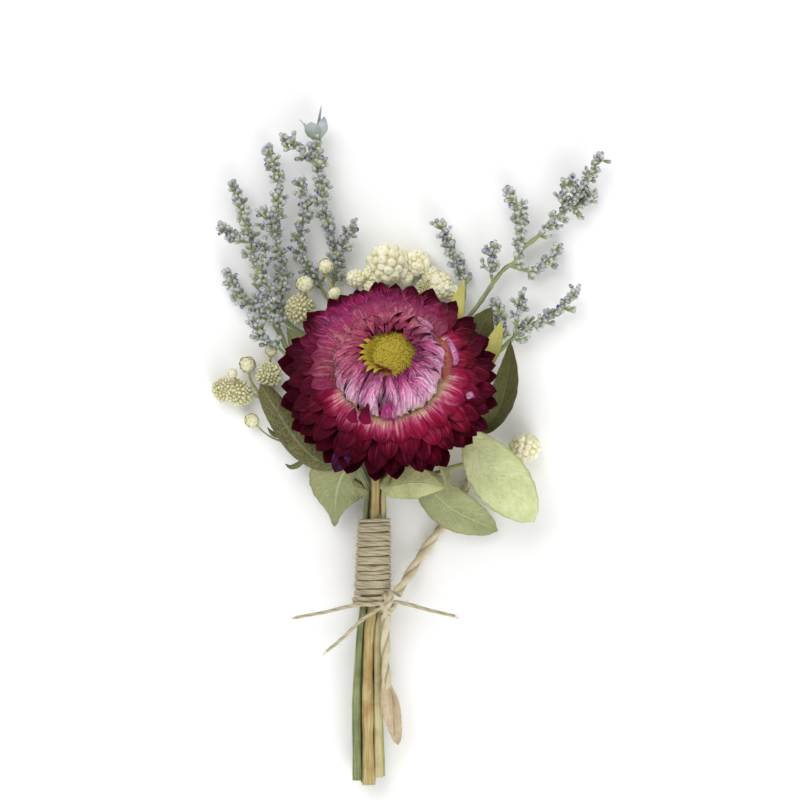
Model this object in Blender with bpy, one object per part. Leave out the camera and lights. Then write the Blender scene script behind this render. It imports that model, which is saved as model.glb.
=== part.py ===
"""A small dried flower bouquet, lying on its back.

One strawflower, leafy sprigs, sea lavender sprays and stalks of cream button heads are
gathered in one bundle of stems, wrapped in twine and tied.

X runs to the right, Y from the cut stem ends to the spray tips, Z up from the surface
that the bouquet lies on. Lengths below are millimetres unless a name says otherwise.
"""

import math
import random
from dataclasses import dataclass

import bmesh
import bpy
from mathutils import Vector

MM = 0.001
SEED = 27
GOLDEN_ANGLE = math.pi * (3.0 - math.sqrt(5.0))
CLEARANCE = 0.3
BLADE = 0.6

# Strawflower: its rim plane's centre, how far the head leans towards +Y, and its radii.
FLOWER_CENTRE = (-4.2, 14.0, 18.5)
FLOWER_LEAN_DEG = 26.0
RIM_RADIUS = 22.5
RECEPTACLE_TOP = 2.5
RECEPTACLE_FOOT = -8.0
DOME_BASE_RADIUS = 10.8
DOME_BASE_TOP = 4.8
DISC_RADIUS = 5.5
DISC_TOP = 12.7
DISC_FLORETS = 26

# Bundle: the line its stems follow from the cut ends up, and how they are packed in it.
STEM_END = -72.0
BUNDLE_AXIS = [
    (-8.7, -72.0, 3.75),
    (-8.9, -55.0, 4.1),
    (-8.6, -40.0, 4.5),
    (-7.8, -33.2, 4.65),
    (-7.4, -15.5, 4.6),
    (-7.2, -9.0, 4.7),
]
RING_RADIUS = 2.1
STEM_RADII = (0.58, 0.45)
STEM_SIDES = 5
FLOWER_STEM_RADII = (1.2, 0.95)
FLOWER_STEM_SIDES = 8
SPREAD_BELOW_TIE = 1.22
STATIONS_BELOW_TIE = 2
LONGEST_TRIM = 2.4

# Twine: the sleeve wound round the stems, and the tie below it.
SLEEVE_TOP = -15.4
SLEEVE_FOOT = -30.6
SLEEVE_BORE = 2.85
SLEEVE_RADII = (3.55, 4.15)
SLEEVE_TURNS = 10
RIDGE = 0.35
TIE_STATION = 3
TIE_TURNS = 2
TIE_PITCH = 1.56
TIE_STEPS = 14
KNOT_TURN_DEG = 40
TIE_RADIUS = 3.9
TIE_THICK = 0.75

# Loose cord: its diameter and its route, from the knot to its end under the leaves.
CORD_DIAMETER = 2.4
CORD_ROUTE = [
    (-2.6, -31.3, 6.4),
    (-1.3, -29.4, 5.2),
    (0.4, -26.8, 3.2),
    (2.5, -23.4, 1.8),
    (4.9, -20.0, 1.4),
    (7.5, -16.3, 1.3),
    (9.8, -12.9, 1.3),
    (11.8, -9.5, 1.3),
    (13.4, -6.0, 1.3),
    (14.5, -2.4, 1.3),
]

# Sea lavender florets, at about their true size, each leaning forward along its twig.
FLORET_STEP = 2.25
FLORET_LENGTH = 2.5
FLORET_MOUTH = 0.95
FLORET_ROOT = 0.18
FLORET_LEAN = 0.75
TWIG_SIDES = 3

COLOURS = {
    "crimson_bract": ((0.33, 0.02, 0.10), 0.45),
    "pink_bract": ((0.62, 0.24, 0.42), 0.40),
    "disc_yellow": ((0.50, 0.44, 0.10), 0.80),
    "sage_leaf": ((0.42, 0.44, 0.26), 0.70),
    "sea_lavender": ((0.50, 0.50, 0.55), 0.80),
    "cream_head": ((0.80, 0.72, 0.48), 0.75),
    "ochre_stem": ((0.42, 0.30, 0.13), 0.65),
    "jute": ((0.55, 0.44, 0.30), 0.90),
}


@dataclass(frozen=True)
class Layer:
    """A ring of bracts: its profile from root to tip as (radius, height) pairs."""

    count: int
    width: float
    profile: tuple
    cup: float
    turn: float
    play: float = 1.0


@dataclass(frozen=True)
class Twig:
    """A branch: its route, its end radii, and from what share of it florets grow."""

    route: tuple
    radii: tuple = (0.36, 0.26)
    bare: float = 0.0
    florets: bool = True


@dataclass(frozen=True)
class Leaf:
    """A leaf: its midrib's route, half width, share where it is widest, cup, wave and tip.

    A blunt value over 1 keeps the blade wide close to its tip.
    """

    midrib: tuple
    half_width: float
    widest: float = 0.5
    cup: float = 0.8
    wave: float = 0.4
    blunt: float = 1.0
    rows: int = 7


OUTER_LAYERS = [
    Layer(12, 6.0, ((7.2, -5.6), (14.0, -5.2), (16.9, -4.4), (18.6, -3.4)), 0.5, 0.2),
    Layer(17, 5.9, ((11.0, -4.4), (17.6, -2.3), (20.7, -1.1), (RIM_RADIUS, 0.0)), 0.6, 0.0),
    Layer(17, 5.7, ((11.0, -2.9), (16.8, -0.5), (19.8, 0.8), (21.5, 1.9)), 0.6, 0.5),
    Layer(15, 5.7, ((11.0, -1.4), (15.4, 1.1), (18.0, 2.4), (19.6, 3.6)), 0.6, 0.0),
    Layer(14, 5.4, ((11.0, 0.0), (14.3, 2.8), (16.2, 4.3), (17.5, 5.6)), 0.6, 0.5),
    Layer(13, 5.1, ((11.0, 1.4), (13.0, 4.6), (14.3, 6.3), (15.2, 7.7)), 0.5, 0.0),
]
DOME_LAYERS = [
    Layer(17, 3.3, ((9.8, 3.9), (10.9, 7.4), (10.7, 9.8), (10.1, 11.3)), -0.2, 0.0, 0.35),
    Layer(15, 3.1, ((8.5, 3.9), (9.5, 8.4), (8.9, 11.4), (7.9, 13.0)), -0.2, 0.5, 0.35),
    Layer(13, 2.9, ((7.1, 3.9), (8.1, 9.0), (7.3, 12.3), (6.3, 13.8)), -0.2, 0.0, 0.35),
]

# Places in the bundle, as degrees clockwise from its front, or as an (x, z) offset.
STEM_SLOTS = {
    "leaf_sprig_right": 61,
    "leaf_sprig_upper_right": 95,
    "cream_stalk_right": 129,
    "sea_lavender_right_lower": 163,
    "sea_lavender_left_inner": 197,
    "sea_lavender_left_outer": 231,
    "cream_stalk_left": 265,
    "leaf_sprig_left": 299,
    "sea_lavender_right_upper": (0.62, -0.5),
    "cream_stalk_top": (-0.62, -0.5),
    "strawflower_stem": (0.1, 1.4),
}

# Each stem's way on from the top of the bundle.
STEM_ROUTES = {
    "strawflower_stem": ((-7.0, -4.0, 6.2), (-6.0, 3.0, 6.9), (-4.9, 8.0, 8.6), (-4.35, 10.1, 10.8)),
    "leaf_sprig_left": ((-10.5, -5.5, 6.3), (-12.5, 1.0, 6.2), (-15.5, 9.0, 5.9), (-18.2, 14.2, 6.0)),
    "leaf_sprig_right": ((-3.6, -5.5, 6.2), (0.0, -1.0, 6.4), (5.0, 2.4, 7.4), (9.8, 2.6, 9.0)),
    "leaf_sprig_upper_right": ((-1.2, -4.0, 4.1), (6.0, 3.4, 4.3), (10.6, 9.5, 4.9), (13.2, 16.5, 5.6)),
    "sea_lavender_left_outer": ((-13.5, -1.0, 2.4), (-21.0, 11.0, 2.0), (-26.2, 21.2, 2.5)),
    "sea_lavender_left_inner": ((-11.5, 0.0, 2.0), (-15.0, 13.0, 2.0), (-17.0, 24.0, 2.2), (-17, 32, 2.3)),
    "sea_lavender_right_upper": ((-3.6, 0.0, 3.0), (2.4, 12.0, 2.4), (8.4, 22.0, 2.3), (14.9, 30.4, 3.0)),
    "sea_lavender_right_lower": ((-0.6, -1.0, 2.1), (8.0, 9.0, 2.0), (15.0, 16.6, 2.2), (19.8, 20.9, 2.8)),
    "cream_stalk_top": ((-8.0, 0.0, 3.3), (-6.8, 14.0, 2.4), (-5.6, 25.0, 2.5), (-4.4, 36.0, 3.8)),
    "cream_stalk_left": ((-14.0, -5.6, 4.1), (-20.6, -0.8, 3.5), (-26.0, 5.0, 3.0), (-30.0, 10.0, 3.0)),
    "cream_stalk_right": ((0.0, -7.6, 3.5), (9.0, -4.4, 4.3), (17.5, -2.2, 4.4), (23.4, -0.4, 3.6)),
}

TWIGS = {
    "sea_lavender_left_outer": [
        Twig(((-26.2, 21.2, 2.5), (-29.3, 28.9, 5.4), (-31.2, 34.4, 6.0), (-33.2, 40.4, 5.8),
              (-34.4, 46.0, 5.4), (-36.0, 51.2, 4.8), (-37.4, 55.4, 4.4)), (0.45, 0.26), 0.15),
        Twig(((-34.0, 43.6, 5.5), (-36.8, 44.2, 6.6), (-38.9, 46.2, 7.2)), bare=0.3),
        Twig(((-32.2, 37.4, 5.9), (-31.0, 40.0, 7.6), (-30.9, 42.6, 8.6)), bare=0.3),
        Twig(((-26.0, 20.8, 2.5), (-29.4, 27.0, 2.4), (-33.0, 30.4, 2.2), (-36.4, 32.4, 2.2),
              (-38.4, 36.6, 2.8)), (0.45, 0.26), 0.35),
        Twig(((-24.6, 18.1, 2.3), (-28.4, 21.6, 5.2), (-31.2, 23.6, 6.4), (-33.2, 26.8, 7.2)), bare=0.4),
    ],
    "sea_lavender_left_inner": [
        Twig(((-15.8, 17.4, 2.1), (-21.4, 23.4, 2.0), (-26.0, 26.6, 2.0), (-27.7, 31.0, 2.4),
              (-26.8, 38.0, 3.6), (-28.0, 44.0, 4.6), (-28.2, 50.0, 5.0), (-27.4, 55.2, 5.2),
              (-28.8, 59.2, 5.0), (-30.2, 63.4, 4.6)), (0.45, 0.26), 0.42),
        Twig(((-28.1, 45.2, 4.8), (-29.9, 46.8, 6.2), (-30.6, 49.4, 7.0)), bare=0.3),
        Twig(((-17.0, 31.6, 2.3), (-15.8, 37.0, 2.4), (-15.6, 42.0, 2.8), (-17.8, 48.6, 4.0),
              (-18.4, 55.0, 4.8), (-19.4, 61.4, 5.0), (-19.6, 66.0, 5.0), (-19.8, 70.4, 5.0)),
             (0.45, 0.26), 0.28),
        Twig(((-19.2, 59.8, 5.0), (-22.0, 62.2, 5.6), (-25.6, 65.4, 6.2)), bare=0.25),
        Twig(((-15.6, 41.2, 2.8), (-13.6, 44.0, 4.2), (-12.4, 46.8, 5.2)), bare=0.3),
        Twig(((-17.0, 31.0, 2.3), (-20.2, 36.4, 2.2), (-22.8, 40.6, 3.2), (-23.4, 46.0, 4.2),
              (-22.0, 50.0, 5.2), (-22.9, 56.2, 5.8)), bare=0.45),
    ],
    "sea_lavender_right_upper": [
        Twig(((14.9, 30.4, 3.0), (19.8, 37.4, 3.5), (23.2, 40.2, 3.9), (23.8, 45.4, 4.3),
              (23.4, 50.8, 4.6), (21.6, 54.0, 5.0)), (0.45, 0.26), 0.45),
        Twig(((18.0, 34.9, 3.4), (17.4, 38.4, 4.8), (17.8, 41.8, 5.8)), bare=0.3),
        Twig(((23.4, 41.8, 4.0), (26.4, 44.0, 4.6), (30.2, 47.2, 4.4), (33.4, 50.6, 4.2),
              (36.4, 54.4, 4.4), (38.6, 58.2, 4.6), (40.4, 61.4, 4.8)), (0.4, 0.26), 0.2),
        Twig(((33.0, 50.2, 4.2), (32.8, 53.2, 5.8), (34.2, 56.4, 6.8)), bare=0.2),
        Twig(((34.0, 51.4, 4.2), (36.2, 51.2, 3.0), (38.6, 53.4, 2.6)), bare=0.2),
        Twig(((21.4, 38.7, 3.7), (25.8, 37.6, 3.2), (29.2, 39.2, 2.9), (31.4, 41.8, 3.2)), bare=0.35),
        Twig(((8.4, 22.0, 2.3), (11.2, 29.0, 2.0), (12.0, 35.0, 2.2), (10.0, 40.0, 3.2),
              (8.2, 43.6, 4.6), (7.3, 47.0, 5.6)), bare=0.5),
    ],
    "sea_lavender_right_lower": [
        Twig(((19.8, 20.9, 2.8), (24.0, 24.6, 3.3), (28.6, 27.2, 3.4), (32.4, 29.4, 3.6),
              (35.4, 33.0, 4.2)), (0.45, 0.26), 0.2),
        Twig(((18.8, 20.1, 2.7), (20.0, 25.4, 3.4), (19.0, 29.8, 4.2)), bare=0.35),
        Twig(((22.6, 23.4, 3.2), (23.2, 27.8, 4.8), (24.0, 31.8, 5.6)), bare=0.3),
    ],
    "cream_stalk_top": [
        Twig(((-5.8, 24.0, 2.5), (-1.4, 31.0, 2.6), (1.7, 37.4, 3.0)), (0.36, 0.3), florets=False),
        Twig(((-1.8, 30.4, 2.6), (2.6, 32.2, 2.8), (5.6, 33.6, 3.0)), (0.34, 0.3), florets=False),
        Twig(((-6.4, 18.0, 2.4), (-9.6, 27.0, 3.6), (-11.2, 34.6, 4.4)), (0.36, 0.3), florets=False),
        Twig(((-6.0, 22.0, 2.45), (-7.4, 29.0, 4.4), (-7.9, 33.0, 5.4)), (0.34, 0.3), florets=False),
        Twig(((-6.6, 16.0, 2.4), (-11.4, 24.0, 4.6), (-15.4, 31.4, 6.0), (-17.5, 37.2, 6.4)),
             (0.36, 0.28), florets=False),
        Twig(((-10.6, 22.6, 4.3), (-17.6, 26.8, 5.2), (-21.4, 28.8, 4.2), (-22.2, 33.4, 4.6)),
             (0.36, 0.28), florets=False),
    ],
    "cream_stalk_left": [
        Twig(((-29.6, 9.4, 3.0), (-33.4, 11.2, 3.0), (-38.6, 12.1, 3.0)), (0.4, 0.34), florets=False),
        Twig(((-26.4, 5.4, 3.0), (-28.4, 10.6, 3.0), (-29.8, 14.4, 3.0), (-29.5, 20.0, 2.4)),
             (0.36, 0.28), florets=False),
        Twig(((-31.4, 10.6, 3.0), (-33.6, 13.8, 3.0), (-34.5, 17.0, 2.8)), (0.34, 0.28), florets=False),
        Twig(((-34.0, 11.3, 3.0), (-36.4, 13.6, 4.6), (-37.4, 15.2, 5.4)), (0.32, 0.28), florets=False),
        Twig(((-21.0, -0.5, 3.5), (-27.4, 1.2, 3.2), (-30.6, 2.8, 2.8), (-33.2, 5.2, 2.2)),
             (0.34, 0.26), florets=False),
    ],
}

# Cream button heads, as (x, y, z, radius), with how deep the gaps between their buds go.
BUD_GAP = 0.34
CREAM_HEADS = {
    "cream_stalk_top": [
        (-4.4, 39.1, 4.3, 4.6), (1.9, 39.3, 3.0, 3.0), (6.6, 34.4, 3.0, 2.9), (-11.4, 35.9, 4.6, 2.1),
        (-8.1, 34.0, 5.7, 1.7), (-15.7, 32.4, 6.1, 1.6), (-17.7, 38.4, 6.6, 1.7),
        (-22.3, 34.7, 4.8, 1.9), (-23.2, 29.4, 3.4, 3.3),
    ],
    "cream_stalk_left": [
        (-36.2, 11.5, 2.7, 2.9), (-39.5, 12.2, 2.7, 2.7), (-29.9, 15.3, 2.9, 2.9),
        (-34.5, 17.6, 2.6, 1.7), (-37.6, 15.6, 5.6, 1.0), (-29.5, 20.6, 2.2, 1.3),
        (-33.6, 5.6, 2.0, 1.5),
    ],
    "cream_stalk_right": [(24.8, -0.1, 3.1, 3.3)],
}

# Leaves: how narrow the stalk end is, how full the sides are, and the wave of the edges.
STALK_SHARE = 0.12
LEAF_FULLNESS = 1.2
WAVE_STEP = 2.1
LEAVES = {
    "leaf_sprig_left": [
        Leaf(((-12.2, -0.4, 6.3), (-17.6, -3.6, 7.6), (-22.4, -0.6, 8.2), (-27.4, 6.0, 8.4),
              (-31.8, 13.2, 7.4)), 4.4, 0.55, 2.2, 0.3, rows=8),
        Leaf(((-10.6, -5.0, 6.3), (-13.6, -6.0, 6.2), (-15.2, -10.6, 5.2), (-15.9, -17.0, 3.6)),
             5.4, 0.42, 0.9, 0.5),
        Leaf(((-17.4, 12.6, 6.0), (-20.6, 17.6, 6.6), (-23.4, 21.8, 7.0), (-26.0, 25.4, 7.0)),
             2.9, 0.55, 0.6, 0.3, rows=6),
    ],
    "leaf_sprig_right": [
        Leaf(((8.6, 2.5, 8.6), (13.4, 1.4, 10.2), (18.0, -4.0, 11.0), (22.6, -10.0, 10.4),
              (26.4, -15.6, 9.0)), 6.4, 0.6, 1.0, 0.5, 2.2, rows=8),
        Leaf(((-0.4, -1.5, 6.5), (3.6, -7.4, 7.2), (9.0, -13.0, 6.2), (19.0, -18.0, 2.6)),
             4.4, 0.55, 0.8, 0.5, 1.6),
        Leaf(((-3.4, -5.2, 6.3), (-4.2, -8.4, 8.6), (1.4, -7.6, 10.2), (7.6, -8.6, 9.6)),
             3.2, 0.6, -1.0, 0.4),
    ],
    "leaf_sprig_upper_right": [
        Leaf(((9.4, 7.9, 4.8), (15.4, 4.4, 6.6), (19.2, 8.6, 8.0), (21.0, 15.6, 8.8), (21.6, 22.6, 9.0)),
             2.7, 0.6, 1.8, 0.2, rows=8),
        Leaf(((12.6, 15.0, 5.5), (14.0, 21.0, 5.8), (15.4, 25.6, 6.2), (17.6, 29.8, 6.6)),
             3.3, 0.6, 0.6, 0.4, rows=6),
        Leaf(((13.0, 16.0, 5.6), (16.4, 18.4, 7.2), (18.2, 22.4, 7.8), (19.8, 27.0, 8.0)),
             1.9, 0.5, 0.5, 0.2, rows=6),
        Leaf(((12.8, 15.4, 5.5), (10.4, 23.0, 5.4), (10.2, 29.4, 5.6), (11.8, 35.6, 6.0)),
             1.7, 0.65, 0.4, 0.2, rows=6),
    ],
}


def clear_scene():
    """Remove whatever the scene holds."""
    for item in list(bpy.data.objects):
        bpy.data.objects.remove(item, do_unlink=True)


def make_materials():
    """Return one Principled material for each entry of COLOURS."""
    made = {}
    for name, (rgb, roughness) in COLOURS.items():
        material = bpy.data.materials.new(name)
        material.use_nodes = True
        shader = material.node_tree.nodes["Principled BSDF"]
        shader.inputs["Base Color"].default_value = (*rgb, 1.0)
        shader.inputs["Roughness"].default_value = roughness
        shader.inputs["Metallic"].default_value = 0.0
        made[name] = material
    return made


def mesh_object(name, points, faces):
    """Return a linked object whose mesh has the points (mm) and faces given."""
    mesh = bpy.data.meshes.new(name)
    mesh.from_pydata([Vector(p) * MM for p in points], [], faces)
    mesh.validate()
    made = bpy.data.objects.new(name, mesh)
    bpy.context.scene.collection.objects.link(made)
    return made


def face_outwards(item):
    """Turn the faces of a closed mesh outwards."""
    shape = bmesh.new()
    shape.from_mesh(item.data)
    bmesh.ops.recalc_face_normals(shape, faces=shape.faces)
    shape.to_mesh(item.data)
    shape.free()
    return item


def smooth_route(route, per_span=2):
    """Return points of a Catmull-Rom curve through the route's own points."""
    fixed = [Vector(p) for p in route]
    ends = [2 * fixed[0] - fixed[1], *fixed, 2 * fixed[-1] - fixed[-2]]
    result = [fixed[0]]
    for i in range(1, len(ends) - 2):
        before, here, there, after = ends[i - 1:i + 3]
        for k in range(1, per_span + 1):
            t = k / per_span
            result.append(0.5 * (2 * here + (there - before) * t
                                 + (2 * before - 5 * here + 4 * there - after) * t ** 2
                                 + (3 * here - before - 3 * there + after) * t ** 3))
    return result


def along(points, share):
    """Return the place and direction at a share of a polyline's length."""
    lengths = [(b - a).length for a, b in zip(points, points[1:])]
    left = share * sum(lengths)
    for (a, b), length in zip(zip(points, points[1:]), lengths):
        if left <= length:
            return a.lerp(b, left / length), (b - a).normalized()
        left -= length
    return points[-1].copy(), (points[-1] - points[-2]).normalized()


def tube(name, points, radii, sides):
    """Return a closed tube round a polyline, its radius running between the two given."""
    count = len(points)
    rings = []
    normal = None
    for i, place in enumerate(points):
        ahead = (points[min(i + 1, count - 1)] - points[max(i - 1, 0)]).normalized()
        start = normal or (Vector((0, 0, 1)) if abs(ahead.z) < 0.9 else Vector((1, 0, 0)))
        normal = (start - ahead * start.dot(ahead)).normalized()
        side = ahead.cross(normal)
        radius = radii[0] + (radii[1] - radii[0]) * i / (count - 1)
        angles = [2 * math.pi * k / sides for k in range(sides)]
        rings.append([place + radius * (math.cos(a) * normal + math.sin(a) * side) for a in angles])
    faces = [
        (i * sides + k, i * sides + (k + 1) % sides, (i + 1) * sides + (k + 1) % sides, (i + 1) * sides + k)
        for i in range(count - 1)
        for k in range(sides)
    ]
    faces += [tuple(reversed(range(sides))), tuple(range((count - 1) * sides, count * sides))]
    return face_outwards(mesh_object(name, [p for ring in rings for p in ring], faces))


def turned(name, profile, sides):
    """Return the solid that a profile of (radius, height) pairs sweeps round Z."""
    points = []
    for radius, height in profile:
        for k in range(sides):
            a = 2 * math.pi * k / sides
            points.append((radius * math.cos(a), radius * math.sin(a), height))
    rows = len(profile)
    faces = [
        (i * sides + k, i * sides + (k + 1) % sides, (i + 1) * sides + (k + 1) % sides, (i + 1) * sides + k)
        for i in range(rows - 1)
        for k in range(sides)
    ]
    faces += [tuple(reversed(range(sides))), tuple(range((rows - 1) * sides, rows * sides))]
    return face_outwards(mesh_object(name, points, faces))


def sheet_triangles(sizes):
    """Return the triangles between rows of one or three points, and the points of the rim."""
    starts = [sum(sizes[:i]) for i in range(len(sizes))]
    triangles = []
    for i, (here, there) in enumerate(zip(starts, starts[1:])):
        if sizes[i] == 1:
            triangles += [(here, there + 1, there), (here, there + 2, there + 1)]
        elif sizes[i + 1] == 1:
            triangles += [(here, here + 1, there), (here + 1, here + 2, there)]
        else:
            triangles += [(here, here + 1, there), (here + 1, there + 1, there)]
            triangles += [(here + 1, here + 2, there + 2), (here + 1, there + 2, there + 1)]
    left = list(starts)
    right = [start + size - 1 for start, size in zip(starts, sizes) if size == 3]
    middle = [1] if sizes[0] == 3 else []
    return triangles, left + right[::-1] + middle


def blade(name, rows, thickness=BLADE):
    """Return a closed blade round the sheet that rows of three points span, from root to tip.

    Either end may be a single point. Both faces are split into the same triangles, so that
    a waved blade never crosses itself.
    """
    sheet = [p for row in rows for p in row]
    triangles, rim = sheet_triangles([len(row) for row in rows])
    normals = [Vector() for _ in sheet]
    for a, b, c in triangles:
        facing = (sheet[b] - sheet[a]).cross(sheet[c] - sheet[a])
        for corner in (a, b, c):
            normals[corner] += facing
    half = [n.normalized() * thickness / 2 for n in normals]
    count = len(sheet)
    points = [p + n for p, n in zip(sheet, half)] + [p - n for p, n in zip(sheet, half)]
    faces = list(triangles) + [(c + count, b + count, a + count) for a, b, c in triangles]
    for a, b in zip(rim, rim[1:] + rim[:1]):
        faces += [(b, a, a + count), (b, a + count, b + count)]
    return face_outwards(mesh_object(name, points, faces))


def fuse(base, repeats, solver="EXACT"):
    """Join the repeats into the base with one Boolean union on their collection."""
    group = bpy.data.collections.new(base.name + "_repeats")
    for item in repeats:
        group.objects.link(item)
    union = base.modifiers.new("union", "BOOLEAN")
    union.operation = "UNION"
    union.operand_type = "COLLECTION"
    union.collection = group
    union.solver = solver
    bpy.context.view_layer.update()
    shape = bpy.data.meshes.new_from_object(base.evaluated_get(bpy.context.evaluated_depsgraph_get()))
    base.modifiers.remove(union)
    base.data = shape
    for item in repeats:
        bpy.data.objects.remove(item, do_unlink=True)
    bpy.data.collections.remove(group)
    return base


def finish(item, material):
    """Give a finished piece its material."""
    item.data.materials.clear()
    item.data.materials.append(material)
    return item


def bract(name, layer, angle, rng):
    """Return one bract of a layer, cupped, with its root towards the flower's axis."""
    out = Vector((math.cos(angle), math.sin(angle), 0))
    side = Vector((-math.sin(angle), math.cos(angle), 0))
    stretch = rng.uniform(-0.5, 0.3) * layer.play
    lift = rng.uniform(-0.25, 0.25) * layer.play
    shares = (0.0, 1.0, 0.72, 0.0)
    centre = []
    for i, (radius, height) in enumerate(layer.profile):
        reach = i / 3
        centre.append(out * (radius + stretch * reach) + Vector((0, 0, height + lift * reach)))
    rows = [[centre[0]]]
    for i in (1, 2):
        up = (centre[i + 1] - centre[i]).cross(side).normalized()
        half = layer.width / 2 * shares[i]
        edge = up * layer.cup * shares[i]
        rows.append([centre[i] - side * half + edge, centre[i], centre[i] + side * half + edge])
    rows.append([centre[3]])
    return blade(name, rows)


def bract_ring(name, layer, rng):
    """Return the bracts of one layer."""
    step = 2 * math.pi / layer.count
    return [
        bract(f"{name}_{k}", layer, (k + layer.turn) * step + rng.uniform(-0.012, 0.012), rng)
        for k in range(layer.count)
    ]


def strawflower(materials):
    """Build the head in its own frame and lean it over on an empty."""
    rng = random.Random(SEED)
    outer = turned(
        "strawflower_outer_bracts",
        [(1.6, RECEPTACLE_FOOT), (6.0, -7.4), (10.6, -5.2), (12.4, -1.6), (12.0, RECEPTACLE_TOP)],
        20,
    )
    fuse(outer, [b for i, layer in enumerate(OUTER_LAYERS) for b in bract_ring(f"outer_{i}", layer, rng)])
    finish(outer, materials["crimson_bract"])

    dome = turned(
        "strawflower_inner_bracts",
        [(DOME_BASE_RADIUS - 0.6, RECEPTACLE_TOP + CLEARANCE), (DOME_BASE_RADIUS, DOME_BASE_TOP - 0.6),
         (DOME_BASE_RADIUS - 0.3, DOME_BASE_TOP)],
        20,
    )
    fuse(dome, [b for i, layer in enumerate(DOME_LAYERS) for b in bract_ring(f"inner_{i}", layer, rng)])
    finish(dome, materials["pink_bract"])

    disc = turned(
        "strawflower_disc",
        [(DISC_RADIUS - 0.5, DOME_BASE_TOP + CLEARANCE), (DISC_RADIUS, DISC_TOP - 1.4),
         (DISC_RADIUS - 0.8, DISC_TOP - 0.5), (1.6, DISC_TOP)],
        16,
    )
    florets = []
    for k in range(DISC_FLORETS):
        radius = (DISC_RADIUS - 0.5) * math.sqrt((k + 0.5) / DISC_FLORETS)
        angle = k * GOLDEN_ANGLE
        foot = Vector((radius * math.cos(angle), radius * math.sin(angle), DISC_TOP - 1.9))
        florets.append(tube(f"disc_floret_{k}", [foot, foot + Vector((0, 0, 2.5 - 0.18 * radius))],
                            (0.5, 0.3), 4))
    finish(fuse(disc, florets), materials["disc_yellow"])

    axis = bpy.data.objects.new("strawflower_axis", None)
    bpy.context.scene.collection.objects.link(axis)
    axis.location = Vector(FLOWER_CENTRE) * MM
    axis.rotation_euler = (math.radians(-FLOWER_LEAN_DEG), 0, 0)
    for item in (outer, dome, disc):
        item.parent = axis


def slot_offset(name):
    """Return a stem's (x, z) offset from the bundle's axis inside the wrap."""
    slot = STEM_SLOTS[name]
    if isinstance(slot, tuple):
        return slot
    turn = math.radians(slot)
    return RING_RADIUS * math.sin(turn), RING_RADIUS * math.cos(turn)


def bundle_route(name, end):
    """Return a stem's route from its cut end to the top of the bundle."""
    across, up = slot_offset(name)
    route = []
    for i, (x, y, z) in enumerate(BUNDLE_AXIS):
        spread = SPREAD_BELOW_TIE if i < STATIONS_BELOW_TIE else 1.0
        route.append(Vector((x + across * spread, end if i == 0 else y, z + up * spread)))
    return route


def stem(name, rng):
    """Return a stem from its cut end to the end of its own route."""
    flower_stem = name == "strawflower_stem"
    trim = 0.0 if flower_stem else rng.uniform(0.0, LONGEST_TRIM)
    route = bundle_route(name, STEM_END + trim)
    onward = smooth_route([route[-1], *STEM_ROUTES[name]])
    radii, sides = (FLOWER_STEM_RADII, FLOWER_STEM_SIDES) if flower_stem else (STEM_RADII, STEM_SIDES)
    return tube(name, [*route, *onward[1:]], radii, sides)


def floret(name, place, heading):
    """Return one funnel with its root sunk in the twig."""
    return tube(name, [place, place + heading * FLORET_LENGTH], (FLORET_ROOT, FLORET_MOUTH), TWIG_SIDES)


def twig_pieces(name, twig):
    """Return a twig and the florets that stand round it out to its tip."""
    points = smooth_route(twig.route, 1)
    pieces = [tube(name, points, twig.radii, TWIG_SIDES)]
    if not twig.florets:
        return pieces
    length = sum((b - a).length for a, b in zip(points, points[1:]))
    count = max(2, round(length * (1 - twig.bare) / FLORET_STEP))
    for k in range(count):
        place, ahead = along(points, twig.bare + (1 - twig.bare) * k / count)
        turn = k * GOLDEN_ANGLE
        across = ahead.cross(Vector((0, 0, 1))).normalized()
        out = across * math.cos(turn) + ahead.cross(across) * math.sin(turn)
        pieces.append(floret(f"{name}_floret_{k}", place, (ahead * FLORET_LEAN + out).normalized()))
    place, ahead = along(points, 0.99)
    pieces.append(floret(f"{name}_floret_tip", place, ahead))
    return pieces


def ball(name, centre, radius, detail):
    """Return a faceted ball."""
    shape = bmesh.new()
    bmesh.ops.create_icosphere(shape, subdivisions=detail, radius=radius * MM)
    bmesh.ops.translate(shape, verts=shape.verts, vec=Vector(centre) * MM)
    mesh = bpy.data.meshes.new(name)
    shape.to_mesh(mesh)
    shape.free()
    made = bpy.data.objects.new(name, mesh)
    bpy.context.scene.collection.objects.link(made)
    return made


def cream_head(name, head):
    """Return a head whose surface rises in a papery bud round each of many spread points."""
    centre, radius = Vector(head[:3]), head[3]
    around = round(4 + 2.4 * radius)
    rings = around * 2 // 3
    count = round(5 + 1.6 * radius)
    buds = []
    for k in range(count):
        height = 1 - 2 * (k + 0.5) / count
        flat = math.sqrt(1 - height * height)
        turn = k * GOLDEN_ANGLE + radius
        buds.append(Vector((flat * math.cos(turn), flat * math.sin(turn), height)))
    half_angle = 1.9 / math.sqrt(count)

    def place(way):
        off = min(way.angle(bud) for bud in buds) / half_angle
        return centre + way * radius * (1.0 - BUD_GAP * min(off, 1.0) ** 2)

    points = [place(Vector((0, 0, 1)))]
    for i in range(1, rings):
        polar = math.pi * i / rings
        for k in range(around):
            turn = 2 * math.pi * (k + i % 2 / 2) / around
            points.append(place(Vector((math.sin(polar) * math.cos(turn),
                                        math.sin(polar) * math.sin(turn), math.cos(polar)))))
    points.append(place(Vector((0, 0, -1))))
    last = len(points) - 1
    faces = []
    for k in range(around):
        n = (k + 1) % around
        faces += [(0, 1 + k, 1 + n), (last, last - around + n, last - around + k)]
        for i in range(rings - 2):
            a, b = 1 + i * around + k, 1 + i * around + n
            c, d = a + around, b + around
            faces += [(a, c, d), (a, d, b)] if i % 2 else [(a, c, b), (b, c, d)]
    return face_outwards(mesh_object(name, points, faces))


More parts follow.
